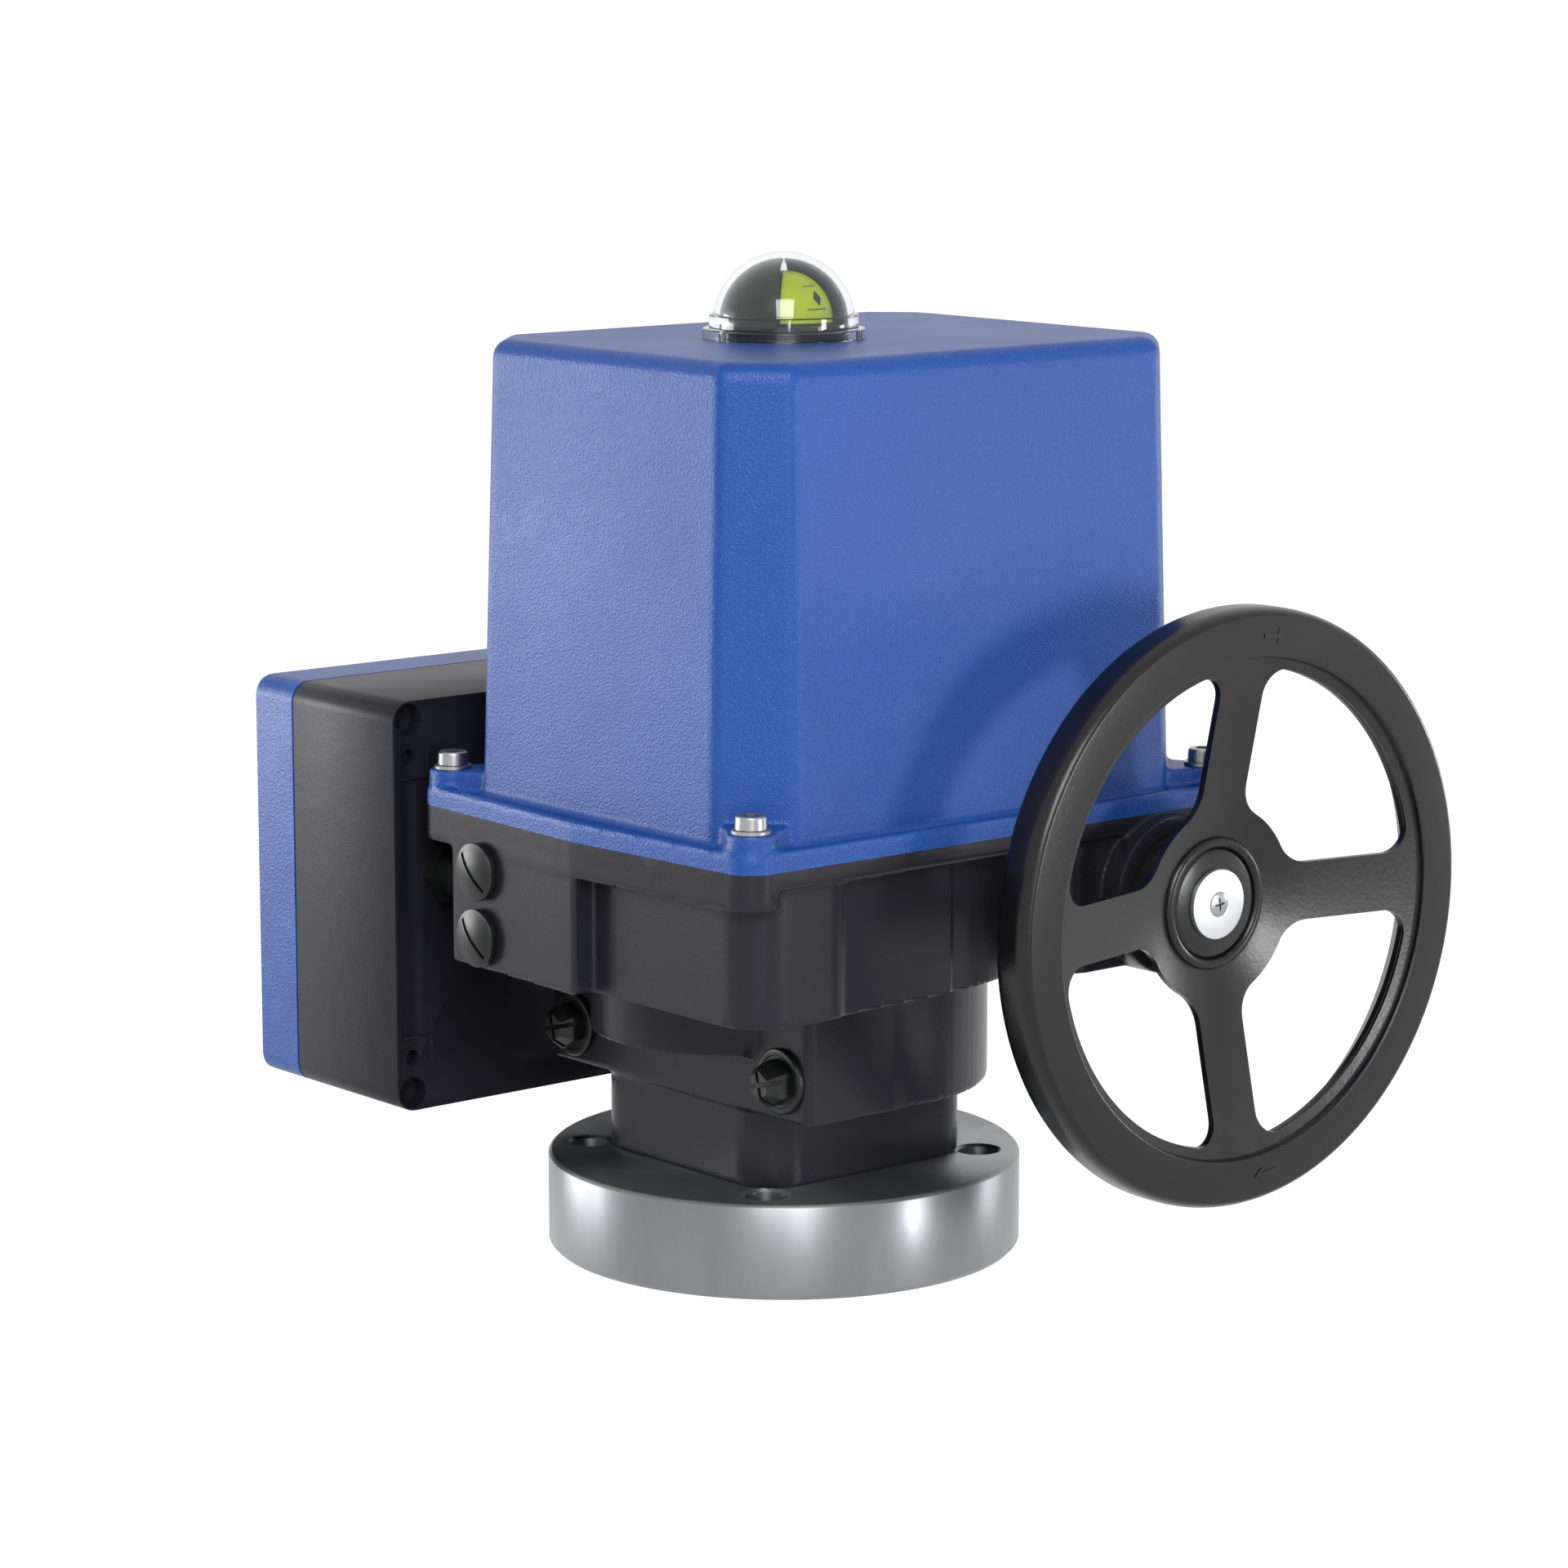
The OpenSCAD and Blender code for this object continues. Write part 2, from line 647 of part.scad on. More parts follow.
module drive_bush() {
    z0 = disc_h - 36;
    color(bright) difference() {
        translate([0, 0, z0]) cylinder(h = sleeve_z0 + drive_bush_h - z0, r = drive_bush_r);
        intersection() {
            translate([-square_side / 2, -square_side / 2, z0 - 1])
                cube([square_side, square_side, sleeve_z0 + drive_bush_h - z0 - 8]);
            translate([0, 0, z0 - 1]) cylinder(h = 200, r = square_side * 0.654);
        }
    }
}

module worm_wheel() {
    rim_r = wheel_pitch_r - dedendum - 6;
    web = 12;
    twist_deg = worm_module / (2 * worm_pitch_r) * wheel_face / wheel_pitch_r * 180 / PI;
    color(bronze) difference() {
        union() {
            translate([0, 0, worm_z - wheel_face / 2]) rotate([0, 0, -twist_deg / 2])
                linear_extrude(wheel_face, twist = -twist_deg, slices = 3)
                polygon(gear_points(worm_module, wheel_teeth, flank_gap));
            translate([0, 0, wheel_hub_z0]) cylinder(h = hub_face, r = wheel_hub_r);
        }
        ring(wheel_hub_r, rim_r, worm_z + web / 2, worm_z + hub_face);
        ring(wheel_hub_r, rim_r, worm_z - hub_face, worm_z - web / 2);
        translate([0, 0, wheel_hub_z0 - 1]) cylinder(h = hub_face + 2, r = sleeve_r + run_gap);
        key_slot();
    }
}

module wheel_key() {
    color(steel)
        translate([-sleeve_r - key_h / 2 + run_gap, -key_w / 2 + run_gap, wheel_hub_z0 + 2 + run_gap])
        cube([key_h - 2 * run_gap, key_w - 2 * run_gap, hub_face - 4 - 2 * run_gap]);
}

module stop_quadrant() {
    color(steel) translate([0, 0, stop_z - quadrant_t / 2]) linear_extrude(quadrant_t) difference() {
        union() {
            circle(quadrant_ring_r);
            intersection() {
                circle(quadrant_r);
                translate([0, -quadrant_r]) square(quadrant_r);
            }
        }
        circle(sleeve_r + run_gap);
    }
}

// Worm shaft

function step(y0, y1, r) = [[r, y0], [r, y1]];
module worm_shaft() {
    core = worm_root_r;
    half = thread_len / 2 + 3;
    color(steel) translate([worm_x, 0, worm_z]) rotate([90, 0, 0]) difference() {
        union() {
            rotate_extrude() polygon(concat([[0, -rear_bearing_y - rear_bearing_w]],
                step(-rear_bearing_y - rear_bearing_w, -rear_bearing_y, rear_shaft_r),
                step(-rear_bearing_y, -gear_y - spur_face - 1, rear_shaft_r + 2),
                step(-gear_y - spur_face - 1, -gear_y, gear_seat_r),
                step(-gear_y, -half - 4, gear_seat_r + 3),
                step(-half, half, core),
                step(half + 4, front_bearing_y - front_bearing_w, front_shaft_r + 4),
                step(front_bearing_y - front_bearing_w, hub_back_y - 1, front_shaft_r),
                step(hub_back_y - 1, hub_face_y - 0.5, hub_bore_r),
                [[0, hub_face_y - 0.5]]));
            worm_thread();
        }
        translate([0, 0, hub_face_y - 14]) cylinder(h = 20, r = 2.5 + run_gap);
        hub_key_slot();
    }
}

hub_key_w = 6;
hub_key_len = 14;
module hub_key_slot() {
    translate([hub_bore_r - 3, -hub_key_w / 2, hub_back_y + 2]) cube([hub_key_w, hub_key_w, hub_key_len]);
}

module hub_key() {
    color(steel) translate([worm_x, 0, worm_z]) rotate([90, 0, 0])
        translate([hub_bore_r - 3 + run_gap, -hub_key_w / 2 + run_gap, hub_back_y + 2 + run_gap])
        cube([hub_key_w - 2 * run_gap, hub_key_w - 2 * run_gap, hub_key_len - 2 * run_gap]);
}

module bearing(r0, r1, w) {
    face = 1.2;
    mid0 = r0 + (r1 - r0) * 0.3;
    mid1 = r1 - (r1 - r0) * 0.25;
    rotate_extrude() polygon([[r0, 0], [mid0, 0], [mid0, face], [mid1, face], [mid1, 0], [r1, 0], [r1, w],
        [mid1, w], [mid1, w - face], [mid0, w - face], [mid0, w], [r0, w]]);
}

module worm_bearings() {
    color(bright) {
        along_y(worm_x, -front_bearing_y + front_bearing_w, worm_z)
            bearing(front_shaft_r + run_gap, front_bearing_r, front_bearing_w);
        along_y(worm_x, rear_bearing_y + rear_bearing_w, worm_z)
            bearing(rear_shaft_r + run_gap, rear_bearing_r, rear_bearing_w);
    }
}

module worm_seal() {
    color(rubber) along_y(worm_x, -front_bearing_y, worm_z) difference() {
        cylinder(h = 5.5, r = front_bearing_r);
        translate([0, 0, -1]) cylinder(h = 10, r = front_shaft_r + run_gap);
        translate([0, 0, 4]) ring(front_shaft_r + 4, front_bearing_r - 4, 0, 3);
    }
}

module bearing_cover_spots() {
    for (sx = [-1, 1], sz = [-1, 1])
        along_y(worm_x + sx * end_cover_screw, rim_y1 + end_cover_t + 1, worm_z + sz * end_cover_screw)
            children();
}

module bearing_cover() {
    color(cast_grey) difference() {
        along_y(worm_x, rim_y1 + end_cover_t, worm_z) {
            linear_extrude(end_cover_t)
                round_rect(-end_cover_half, end_cover_half, -end_cover_half, end_cover_half, 7.5);
            cylinder(h = end_cover_t + 2 - seat_gap, r = rear_bearing_r - 0.1);
        }
        bearing_cover_spots() cylinder(h = 12, r = 2.2);
    }
}

module bearing_cover_screws() {
    color(bright) bearing_cover_spots() translate([0, 0, 1]) {
        translate([0, 0, -2.5]) cylinder(h = 2.5, r = 3.5);
        cylinder(h = 9, r = 2);
    }
}

module worm_gear() {
    color(steel) along_y(worm_x, gear_y + spur_face, worm_z)
        rotate([0, 0, worm_gear_phase]) spur_gear(worm_gear_teeth, gear_seat_r + run_gap);
}

// Handwheel, drawn with its axis along z and then turned towards -Y

function arc(cx, cy, r, a0, a1, n) = [for (i = [0:n]) let(a = a0 + (a1 - a0) * i / n)
    [cx + r * cos(a), cy + r * sin(a)]];

// One opening between two spokes, with rounded corners at the hub and at the rim
module spoke_window() {
    r_out = rim_in_r - 0.5;
    r_in = hub_plate_r;
    f_out = 10;
    f_in = 16;
    w = spoke_w / 2;
    ox = sqrt(pow(r_out - f_out, 2) - pow(w + f_out, 2));
    oa = atan2(w + f_out, ox);
    ix = sqrt(pow(r_in + f_in, 2) - pow(w + f_in, 2));
    ia = atan2(w + f_in, ix);
    half = concat(arc(ix, w + f_in, f_in, 180 + ia, 270, 5), arc(ox, w + f_out, f_out, -90, oa, 6),
        arc(0, 0, r_out, oa + 2, 45, 6));
    mirrored = [for (i = [len(half) - 1:-1:0]) [half[i][1], half[i][0]]];
    inner = arc(0, 0, r_in, 90 - ia - 2, ia + 2, 8);
    polygon(concat(half, mirrored, inner));
}

// Flat front face, a deep outer side and a short hollowed wall down to the spokes
module wheel_rim() {
    f = wheel_front_y;
    b = wheel_back;
    face_in = rim_in_r + 5.6;
    face_out = wheel_r - 3.7;
    back_r = 6;
    rotate_extrude($fn = 128) polygon(concat([[wheel_r, b + back_r], [wheel_r, f - 7.5],
        [wheel_r - 0.4, f - 4.5], [wheel_r - 1.4, f - 2], [wheel_r - 2.3, f - 0.7], [face_out, f],
        [face_in, f], [face_in - 0.8, f - 0.5], [face_in - 2, f - 2.8], [face_in - 4, f - 4.4],
        [rim_in_r, f - 5], [rim_in_r, f - 8], [rim_in_r + 4, f - 9.5], [rim_in_r + 11, b + 1],
        [rim_in_r + 12, b], [wheel_r - back_r, b]], arc(wheel_r - back_r, b + back_r, back_r, -72, -18, 3)));
}

// Dished sheet between the hub and the rim, with four windows
module wheel_spokes() {
    t = 3.5;
    slope = (rim_in_r - hub_plate_r) * 0.222;
    y0 = hub_face_y + 2.7;
    y1 = y0 + slope;
    intersection() {
        translate([0, 0, hub_back_y]) linear_extrude(60) difference() {
            circle(rim_in_r + 3);
            for (a = [0:90:270]) rotate([0, 0, a]) spoke_window();
        }
        rotate_extrude() polygon([[hub_r - 6, hub_face_y - t - 3], [hub_r, hub_face_y - t - 1],
            [hub_plate_r, y0 - t], [rim_in_r + 4, y1 - t], [rim_in_r + 4, y1 + 0.6], [rim_in_r, y1],
            [hub_plate_r, y0], [hub_r, hub_face_y - 0.6], [hub_r - 6, hub_face_y - 2]]);
    }
}

module handwheel() {
    color(black_part) translate([worm_x, 0, worm_z]) rotate([90, 0, 0]) difference() {
        union() {
            wheel_rim();
            wheel_spokes();
            rotate_extrude() polygon([[0, hub_back_y], [hub_r - 6, hub_back_y], [hub_r - 2, hub_face_y - 4],
                [hub_r, hub_face_y - 2], [hub_r - 0.8, hub_face_y + 0.8], [hub_r - 2.5, hub_face_y + 1.3],
                [hub_r - 4.4, hub_face_y + 0.8], [hub_r - 5.4, hub_face_y], [0, hub_face_y]]);
        }
        translate([0, 0, hub_back_y - 1]) cylinder(h = 40, r = hub_bore_r + run_gap);
        ring(20.6, 21.2, hub_face_y - 0.6, hub_face_y + 1);
        hub_key_slot();
    }
}

module hub_cap() {
    color("#b9bcc0") along_y(worm_x, -hub_face_y, worm_z) difference() {
        rotate_extrude()
            polygon([[0, 0], [cap_r, 0], [cap_r, cap_t - 0.6], [cap_r - 0.6, cap_t], [0, cap_t]]);
        translate([0, 0, -1]) cylinder(h = 10, r = 2.7);
    }
}

module hub_screw() {
    color(bright) along_y(worm_x, -hub_face_y - cap_t, worm_z) difference() {
        rotate_extrude() polygon([[0, -13], [2.5, -13], [2.5, 0], [5.5, 0], [5.3, 1], [3.6, 1.9], [0, 2.3]]);
        for (a = [20, 110]) rotate([0, 0, a]) translate([-2.6, -0.5, 1]) cube([5.2, 1, 3]);
    }
}

// Gear plate and motor drive

module gear_plate() {
    boss_r0 = upper_bush_r + 6;
    boss_z = sleeve_shoulder_z + seat_gap + thrust_t;
    color(steel) difference() {
        union() {
            translate([0, 0, z_part]) linear_extrude(plate_t)
                polygon(oct(plate_inset, wall_leg(plate_inset)));
            translate([0, 0, boss_z]) cylinder(h = z_part - boss_z + 1, r = boss_r0);
        }
        translate([0, 0, boss_z - 1]) cylinder(h = 40, r = upper_bush_r + run_gap);
        translate([gear_well_x0, gear_y - 6, z_part - 1]) cube([gear_well_w, spur_face + 12, plate_t + 2]);
        translate([duct_x, plug_y, z_part - 1]) cylinder(h = plate_t + 2, r = duct_r);
        at_plate_screws() translate([0, 0, z_part - 1]) cylinder(h = plate_t + 2, r = plate_screw_r + 0.4);
        at_bracket_screws() translate([0, 0, z_part - 1]) cylinder(h = plate_t + 2, r = 2.5 + run_gap);
    }
}

module plate_screws() {
    color(bright) {
        at_plate_screws() difference() {
            union() {
                translate([0, 0, z_part - plate_screw_depth])
                    cylinder(h = plate_screw_depth + plate_t, r = plate_screw_r);
                translate([0, 0, plate_z]) cylinder(h = 4, r = 5);
            }
            translate([0, 0, plate_z + 1.5]) cylinder(h = 4, r = 2.9, $fn = 6);
        }
        at_bracket_screws() {
            translate([0, 0, z_part + 0.5]) cylinder(h = plate_t + 4, r = 2.5);
            translate([0, 0, plate_z + 4]) cylinder(h = 3, r = 4.2);
        }
    }
}

module at_bracket_screws() {
    for (x = [pinion_x - 24, pinion_x + 14]) translate([x, bracket_y - 20, 0]) children();
}

module motor_bracket() {
    foot_d = 30;
    color(steel) difference() {
        union() {
            translate([pinion_x - 35, bracket_y, plate_z])
                cube([idler_x + 12 - pinion_x + 35, bracket_t, pinion_z + 30 - plate_z]);
            translate([pinion_x - 35, bracket_y - foot_d, plate_z]) cube([60, foot_d + 1, 4]);
        }
        along_y(pinion_x, bracket_y + bracket_t + 1, pinion_z)
            cylinder(h = bracket_t + 2, r = spigot_r + run_gap);
        along_y(idler_x, bracket_y + bracket_t + 1, idler_z)
            cylinder(h = bracket_t + 2, r = idler_pin_r + run_gap);
        at_bracket_screws() translate([0, 0, plate_z - 1]) cylinder(h = 6, r = 2.5 + run_gap);
    }
}

module motor() {
    color("#4a4e55") along_y(pinion_x, bracket_y - gearhead_len, pinion_z) difference() {
        rotate_extrude() polygon([[0, 0], [motor_r, 0], [motor_r, 10], [motor_r - 1.5, 11],
            [motor_r - 1.5, motor_len - 12], [motor_r, motor_len - 11], [motor_r, motor_len - 3],
            [motor_r - 3, motor_len], [0, motor_len]]);
        for (a = [0:30:330]) rotate([0, 0, a]) translate([motor_r - 2.5, -1.2, 16])
            cube([5, 2.4, motor_len - 32]);
    }
}

module gearhead() {
    color(bright) difference() {
        union() {
            along_y(pinion_x, bracket_y, pinion_z) cylinder(h = gearhead_len, r = gearhead_r);
            along_y(pinion_x, bracket_y + bracket_t - 1, pinion_z) cylinder(h = bracket_t, r = spigot_r);
        }
        along_y(pinion_x, bracket_y + bracket_t, pinion_z) cylinder(h = 22, r = motor_shaft_r + run_gap);
    }
}

module motor_shaft() {
    color(steel) along_y(pinion_x, gear_y + spur_face + 3, pinion_z)
        cylinder(h = spur_face + 3 + gear_y - bracket_y + 14, r = motor_shaft_r);
}

module drive_pinion() {
    color(steel) along_y(pinion_x, gear_y + spur_face, pinion_z) {
        rotate([0, 0, pinion_phase]) spur_gear(pinion_teeth, motor_shaft_r + run_gap);
    }
}

module idler_pin() {
    color(bright) along_y(idler_x, gear_y + spur_face + seat_gap + 2, idler_z) {
        cylinder(h = 2, r = idler_pin_r + 2);
        cylinder(h = 2 + seat_gap + spur_face + gear_y - bracket_y, r = idler_pin_r);
        translate([0, 0, 2 + 2 * seat_gap + spur_face])
            cylinder(h = gear_y - bracket_y - bracket_t - seat_gap, r = idler_pin_r + 2);
    }
}

module idler_gear() {
    color(bronze) along_y(idler_x, gear_y + spur_face, idler_z)
        rotate([0, 0, idler_phase]) spur_gear(idler_teeth, idler_pin_r + run_gap);
}

// Indicator shaft, cams and switches

cam_t = 7;
cam_pitch = 12;
cam_z0 = plate_z + 24;
cam_r = 20;
cam_lobe_r = 23;
switch_x0 = -cam_lobe_r - 24;

module indicator_shaft() {
    color(bright) {
        translate([0, 0, sleeve_top - 20])
            cylinder(h = marker_z - marker_plate_t - sleeve_top + 20, r = shaft_r);
        translate([0, 0, marker_z - marker_plate_t]) cylinder(h = 10, r = shaft_tip_r);
    }
}

module cams() {
    color("#d8d2c4") for (i = [0:3]) translate([0, 0, cam_z0 + i * cam_pitch])
        rotate([0, 0, i % 2 == 0 ? 20 : 110]) linear_extrude(cam_t) difference() {
            union() {
                circle(cam_r);
                intersection() {
                    circle(cam_lobe_r);
                    polygon([[0, 0], [40, -15], [40, 15]]);
                }
            }
            circle(shaft_r + run_gap);
        }
}

module switch_bracket() {
    w = 40;
    color(steel) difference() {
        union() {
            translate([switch_x0 - 3, -w / 2, plate_z]) cube([3, w, 3 * cam_pitch + 44]);
            translate([switch_x0 - 18, -w / 2, plate_z]) cube([18, w, 3]);
        }
        for (y = [-12, 12]) translate([switch_x0 - 11, y, plate_z - 1]) cylinder(h = 6, r = 2.6);
    }
}

module limit_switches() {
    color("#2b2b2e") for (i = [0:3]) translate([switch_x0, -14, cam_z0 + i * cam_pitch - 1.5]) {
        cube([16, 28, 10]);
        translate([15, 12, 3]) cube([7.4, 4, 4]);
    }
}

module terminal_block() {
    n = 8;
    pitch = 10;
    color("#cfd4d2") translate([plate_x0 + 7.6, plate_y0 + 27.4, plate_z]) difference() {
        cube([22, n * pitch + 4, 22]);
        for (i = [0:n - 1]) translate([0, 4 + i * pitch, 0]) {
            translate([-1, 0, 8]) cube([8, 6, 7]);
            translate([15, 0, 8]) cube([8, 6, 7]);
            translate([11, 3, 14]) cylinder(h = 10, r = 2.2);
        }
    }
}

module capacitor() {
    r = 18;
    len = 70;
    clip_w = 28;
    x0 = plate_x0 + 45.6;
    y = plate_y0 + 35.4;
    color("#c9cdd2") translate([x0, y, plate_z + r + 1]) rotate([0, 90, 0]) cylinder(h = len, r = r);
    color("#c9cdd2") for (x = [8, len - 14]) translate([x0 + x, y - clip_w / 2, plate_z]) difference() {
        cube([6, clip_w, 12]);
        translate([-1, clip_w / 2, r + 1]) rotate([0, 90, 0]) cylinder(h = 8, r = r - 0.2);
    }
}

module heater() {
    fins = 6;
    pitch = 8.4;
    w = 26;
    color("#b5892f") translate([plate_x0 + 67.6, plate_y1 - 44.5, plate_z]) difference() {
        cube([fins * pitch + 5.6, w, 16]);
        for (i = [0:fins - 1]) translate([5 + i * pitch, -1, 5]) cube([4, w + 2, 12]);
    }
}

// Cover and position dome

// One level of the cover's wall: the octagon set in by a distance, with rounded corners
function wall_ring(z, inset) = let(r = wall_corner_r, p = oct(inset + r, wall_leg(inset + r)))
    [for (k = [0:7], j = [0:3]) let(a = 225 + 45 * k + 15 * j) [p[k].x + r * cos(a), p[k].y + r * sin(a), z]];

function draft_at(z) = (z - z_part - lip_h) * tan(cover_draft);

module cover_solid(extra, z0, top, edge) {
    n = 32;
    levels = concat([[z0, draft_at(z0)]], [for (i = [0:3]) let(a = 30 * i, z = top - edge * (1 - sin(a)))
        [z, draft_at(z) + edge * (1 - cos(a))]]);
    last = n * (len(levels) - 1);
    polyhedron([for (l = levels, p = wall_ring(l[0], ledge_w + extra + l[1])) p],
        concat([[for (i = [0:n - 1]) i], [for (i = [0:n - 1]) last + n - 1 - i]],
            [for (k = [0:len(levels) - 2], i = [0:n - 1]) let(a = k * n + i, b = k * n + (i + 1) % n)
                [a, a + n, b + n, b]]));
}

// Corner lug with flanks that widen from the bolt towards the wall
module lug_outline() {
    r = lug_r - 1;
    reach = 20;
    spread = 17;
    half = r - 1;
    wide = half + reach * tan(spread);
    circle(r);
    polygon([[0, -half], [reach, -wide], [reach, wide], [0, half]]);
}

module motor_cover() {
    color(cover_blue) difference() {
        union() {
            translate([0, 0, z_part]) linear_extrude(lip_h) rim_outline();
            cover_solid(0, z_part, cover_top, top_edge_r);
            for (x = [0, 1], y = [0, 1]) translate([x ? lug_x1 : lug_x0, y ? lug_y1 : lug_y0, z_part])
                rotate([0, 0, x ? (y ? 225 : 135) : (y ? -45 : 45)])
                    linear_extrude(cover_lug_h) lug_outline();
        }
        cover_solid(cover_wall, z_part - 1, cover_inner_top, top_edge_r - 3);
        at_lugs() translate([0, 0, z_part - 1]) cylinder(h = cover_lug_h + 2, r = cover_screw_r + 0.5);
        translate([0, 0, cover_inner_top - 1]) cylinder(h = 20, r = spigot_out_r + 0.1);
        translate([0, 0, cover_top - 1.6]) cylinder(h = 2, r = dome_base_r - 1.2);
    }
}

module seal_outline(gap) {
    difference() {
        polygon(oct(seal_inset - gap, seal_leg + leg_share * gap));
        polygon(oct(seal_inset + seal_w + gap, seal_leg - leg_share * (seal_w + gap)));
    }
}

module cover_seal() {
    color(rubber) translate([0, 0, z_part - seal_t]) linear_extrude(seal_t) seal_outline(0);
}

module cover_screws() {
    z1 = z_part + cover_lug_h + washer_t;
    color(bright) at_lugs() difference() {
        union() {
            translate([0, 0, z1 - cover_screw_len]) cylinder(h = cover_screw_len, r = cover_screw_r);
            translate([0, 0, z1]) rotate_extrude() polygon([[0, 0], [screw_head_r, 0],
                [screw_head_r, screw_head_h - 0.6], [screw_head_r - 0.6, screw_head_h], [0, screw_head_h]]);
        }
        translate([0, 0, z1 + 2]) cylinder(h = 4, r = 3.5, $fn = 6);
    }
}

module cover_washers() {
    color(bright) at_lugs() ring(cover_screw_r + 0.2, washer_r, z_part + cover_lug_h,
        z_part + cover_lug_h + washer_t);
}

module indicator_dome() {
    base = cover_top;
    collar_z = base + dome_base_h + collar_h;
    color([0.85, 0.9, 0.95, 0.4]) difference() {
        union() {
            translate([0, 0, base]) cylinder(h = dome_base_h, r = dome_base_r);
            translate([0, 0, base]) cylinder(h = dome_base_h + collar_h, r = collar_r);
            translate([0, 0, base - 10]) cylinder(h = 11, r = spigot_out_r);
            intersection() {
                translate([0, 0, dome_cz]) sphere(dome_r);
                translate([-50, -50, collar_z - 1]) cube([100, 100, 60]);
            }
        }
        translate([0, 0, base]) cylinder(h = dome_cz - base, r = dome_inner_r);
        translate([0, 0, base - 11]) cylinder(h = 12, r = spigot_in_r);
        intersection() {
            translate([0, 0, dome_cz]) sphere(dome_inner_r);
            translate([-50, -50, dome_cz - 0.01]) cube([100, 100, 60]);
        }
    }
}

module dome_seal() {
    color(rubber) ring(spigot_out_r + 0.3, dome_base_r - 1.3, cover_top - 1.6, cover_top - 0.05);
}

module dome_nut() {
    color(black_part)
        ring(spigot_out_r + run_gap, spigot_out_r + 7, cover_inner_top - nut_h, cover_inner_top);
}

// Quarter wedges about an axis in the XY plane, on both sides
module wedges(turn) {
    neck = 0.6;
    rotate([0, 0, turn]) linear_extrude(60) polygon([[-60, -60], [0, -neck], [60, -60], [60, 60], [0, neck],
        [-60, 60]]);
}

module dome_mask() {
    r1 = dome_inner_r - mask_gap;
    base = cover_top;
    color(black_part) {
        ring(marker_r + 2, r1, base, marker_z - 1);
        intersection() {
            difference() {
                union() {
                    translate([0, 0, dome_cz]) sphere(r1);
                    translate([0, 0, base]) cylinder(h = dome_cz - base, r = r1);
                }
                translate([0, 0, dome_cz]) sphere(r1 - mask_t);
                translate([0, 0, base - 40]) cylinder(h = dome_cz - base + 40, r = r1 - mask_t);
            }
            translate([0, 0, base + 1]) wedges(0);
        }
    }
}

module marker_shell(r0, r1) {
    difference() {
        translate([0, 0, marker_z]) sphere(r1);
        translate([0, 0, marker_z]) sphere(r0);
    }
}

module marker_panels() {
    color("#b4c814") intersection() {
        marker_shell(marker_r - marker_skin, marker_r);
        translate([0, 0, marker_z]) wedges(90);
    }
}

module marker_core() {
    color(black_part) difference() {
        union() {
            translate([0, 0, marker_z - marker_plate_t]) cylinder(h = marker_plate_t, r = marker_r);
            intersection() {
                translate([0, 0, marker_z]) sphere(marker_r);
                translate([-40, -40, marker_z - 0.5]) cube([80, 80, 40]);
            }
        }
        intersection() {
            marker_shell(marker_r - marker_skin, marker_r + 1);
            translate([0, 0, marker_z]) wedges(90);
        }
        translate([0, 0, marker_z - marker_plate_t - 1]) cylinder(h = 11.1, r = shaft_tip_r + run_gap);
    }
}

// Control enclosure

module box_outline(inset) {
    r = box_edge_r - inset;
    round_rect(box_x0 + inset, box_x1 - inset, -box_z1 + inset, -box_z0 - inset, r);
}

// Extrudes the enclosure's outline along +Y from y0 to y1
module box_part(y0, y1, inset) {
    translate([0, y0, 0]) rotate([-90, 0, 0]) linear_extrude(y1 - y0) box_outline(inset);
}

module at_box_corners(inset) {
    for (x = [box_x0 + inset, box_x1 - inset], z = [box_z0 + inset, box_z1 - inset])
        translate([x, 0, z]) children();
}

// Small blind holes in the face towards the case, inboard of the corner holes
module at_keyholes() {
    for (s = [0, 1], z = [0, 1]) translate([s ? box_x1 - box_corner : box_x0 + box_corner, 0, keyhole_z[z]])
        scale([s ? -1 : 1, 1, z ? 1 : -1]) children();
}

// L-shaped rib round a small hole
module keyhole_rib() {
    rib_w = 1;
    rib_h = 1;
    leg = 12.5;
    translate([-4.5, box_y0 - rib_h, -9.7]) cube([leg + 2, rib_h + 1, rib_w]);
    translate([9, box_y0 - rib_h, -9.7]) cube([rib_w, rib_h + 1, leg]);
}

module enclosure_base() {
    pillar_r = box_corner;
    corner_hole_r = 6.8;
    color(cast_grey) difference() {
        union() {
            difference() {
                box_part(box_y0, box_y1, 0);
                box_part(box_y0 + box_wall, box_y1 + 1, box_wall);
            }
            intersection() {
                at_box_corners(box_corner) along_y(0, box_y1, 0) cylinder(h = box_base_d - 1, r = pillar_r);
                box_part(box_y0, box_y1, 0);
            }
            at_keyholes() {
                along_y(0, box_y0 + box_wall + 6, 0) cylinder(h = 9, r = 7);
                keyhole_rib();
            }
        }
        at_box_corners(box_corner) {
            along_y(0, box_y0 + 8, 0) cylinder(h = 9, r = corner_hole_r);
            along_y(0, box_y1 + 1, 0) cylinder(h = 22, r = lid_screw_r + run_gap);
        }
        at_keyholes() along_y(0, box_y0 + 6, 0) cylinder(h = 9, r = 3.5);
        for (x = mount_x, z = mount_z) along_y(x, box_y0 + box_wall + 1, z)
            cylinder(h = box_wall + 2, r = mount_screw_r + 0.5);
        along_y(nipple_x, box_y0 + box_wall + 1, nipple_z) cylinder(h = box_wall + 2, r = nipple_r + run_gap);
    }
}

module enclosure_seal() {
    color(rubber) difference() {
        box_part(box_y1, box_y1 + 1.2, 1);
        box_part(box_y1 - 1, box_y1 + 2, box_wall - 0.5);
        at_box_corners(box_corner) along_y(0, box_y1 + 3, 0) cylinder(h = 5, r = lid_screw_r + 0.5);
    }
}

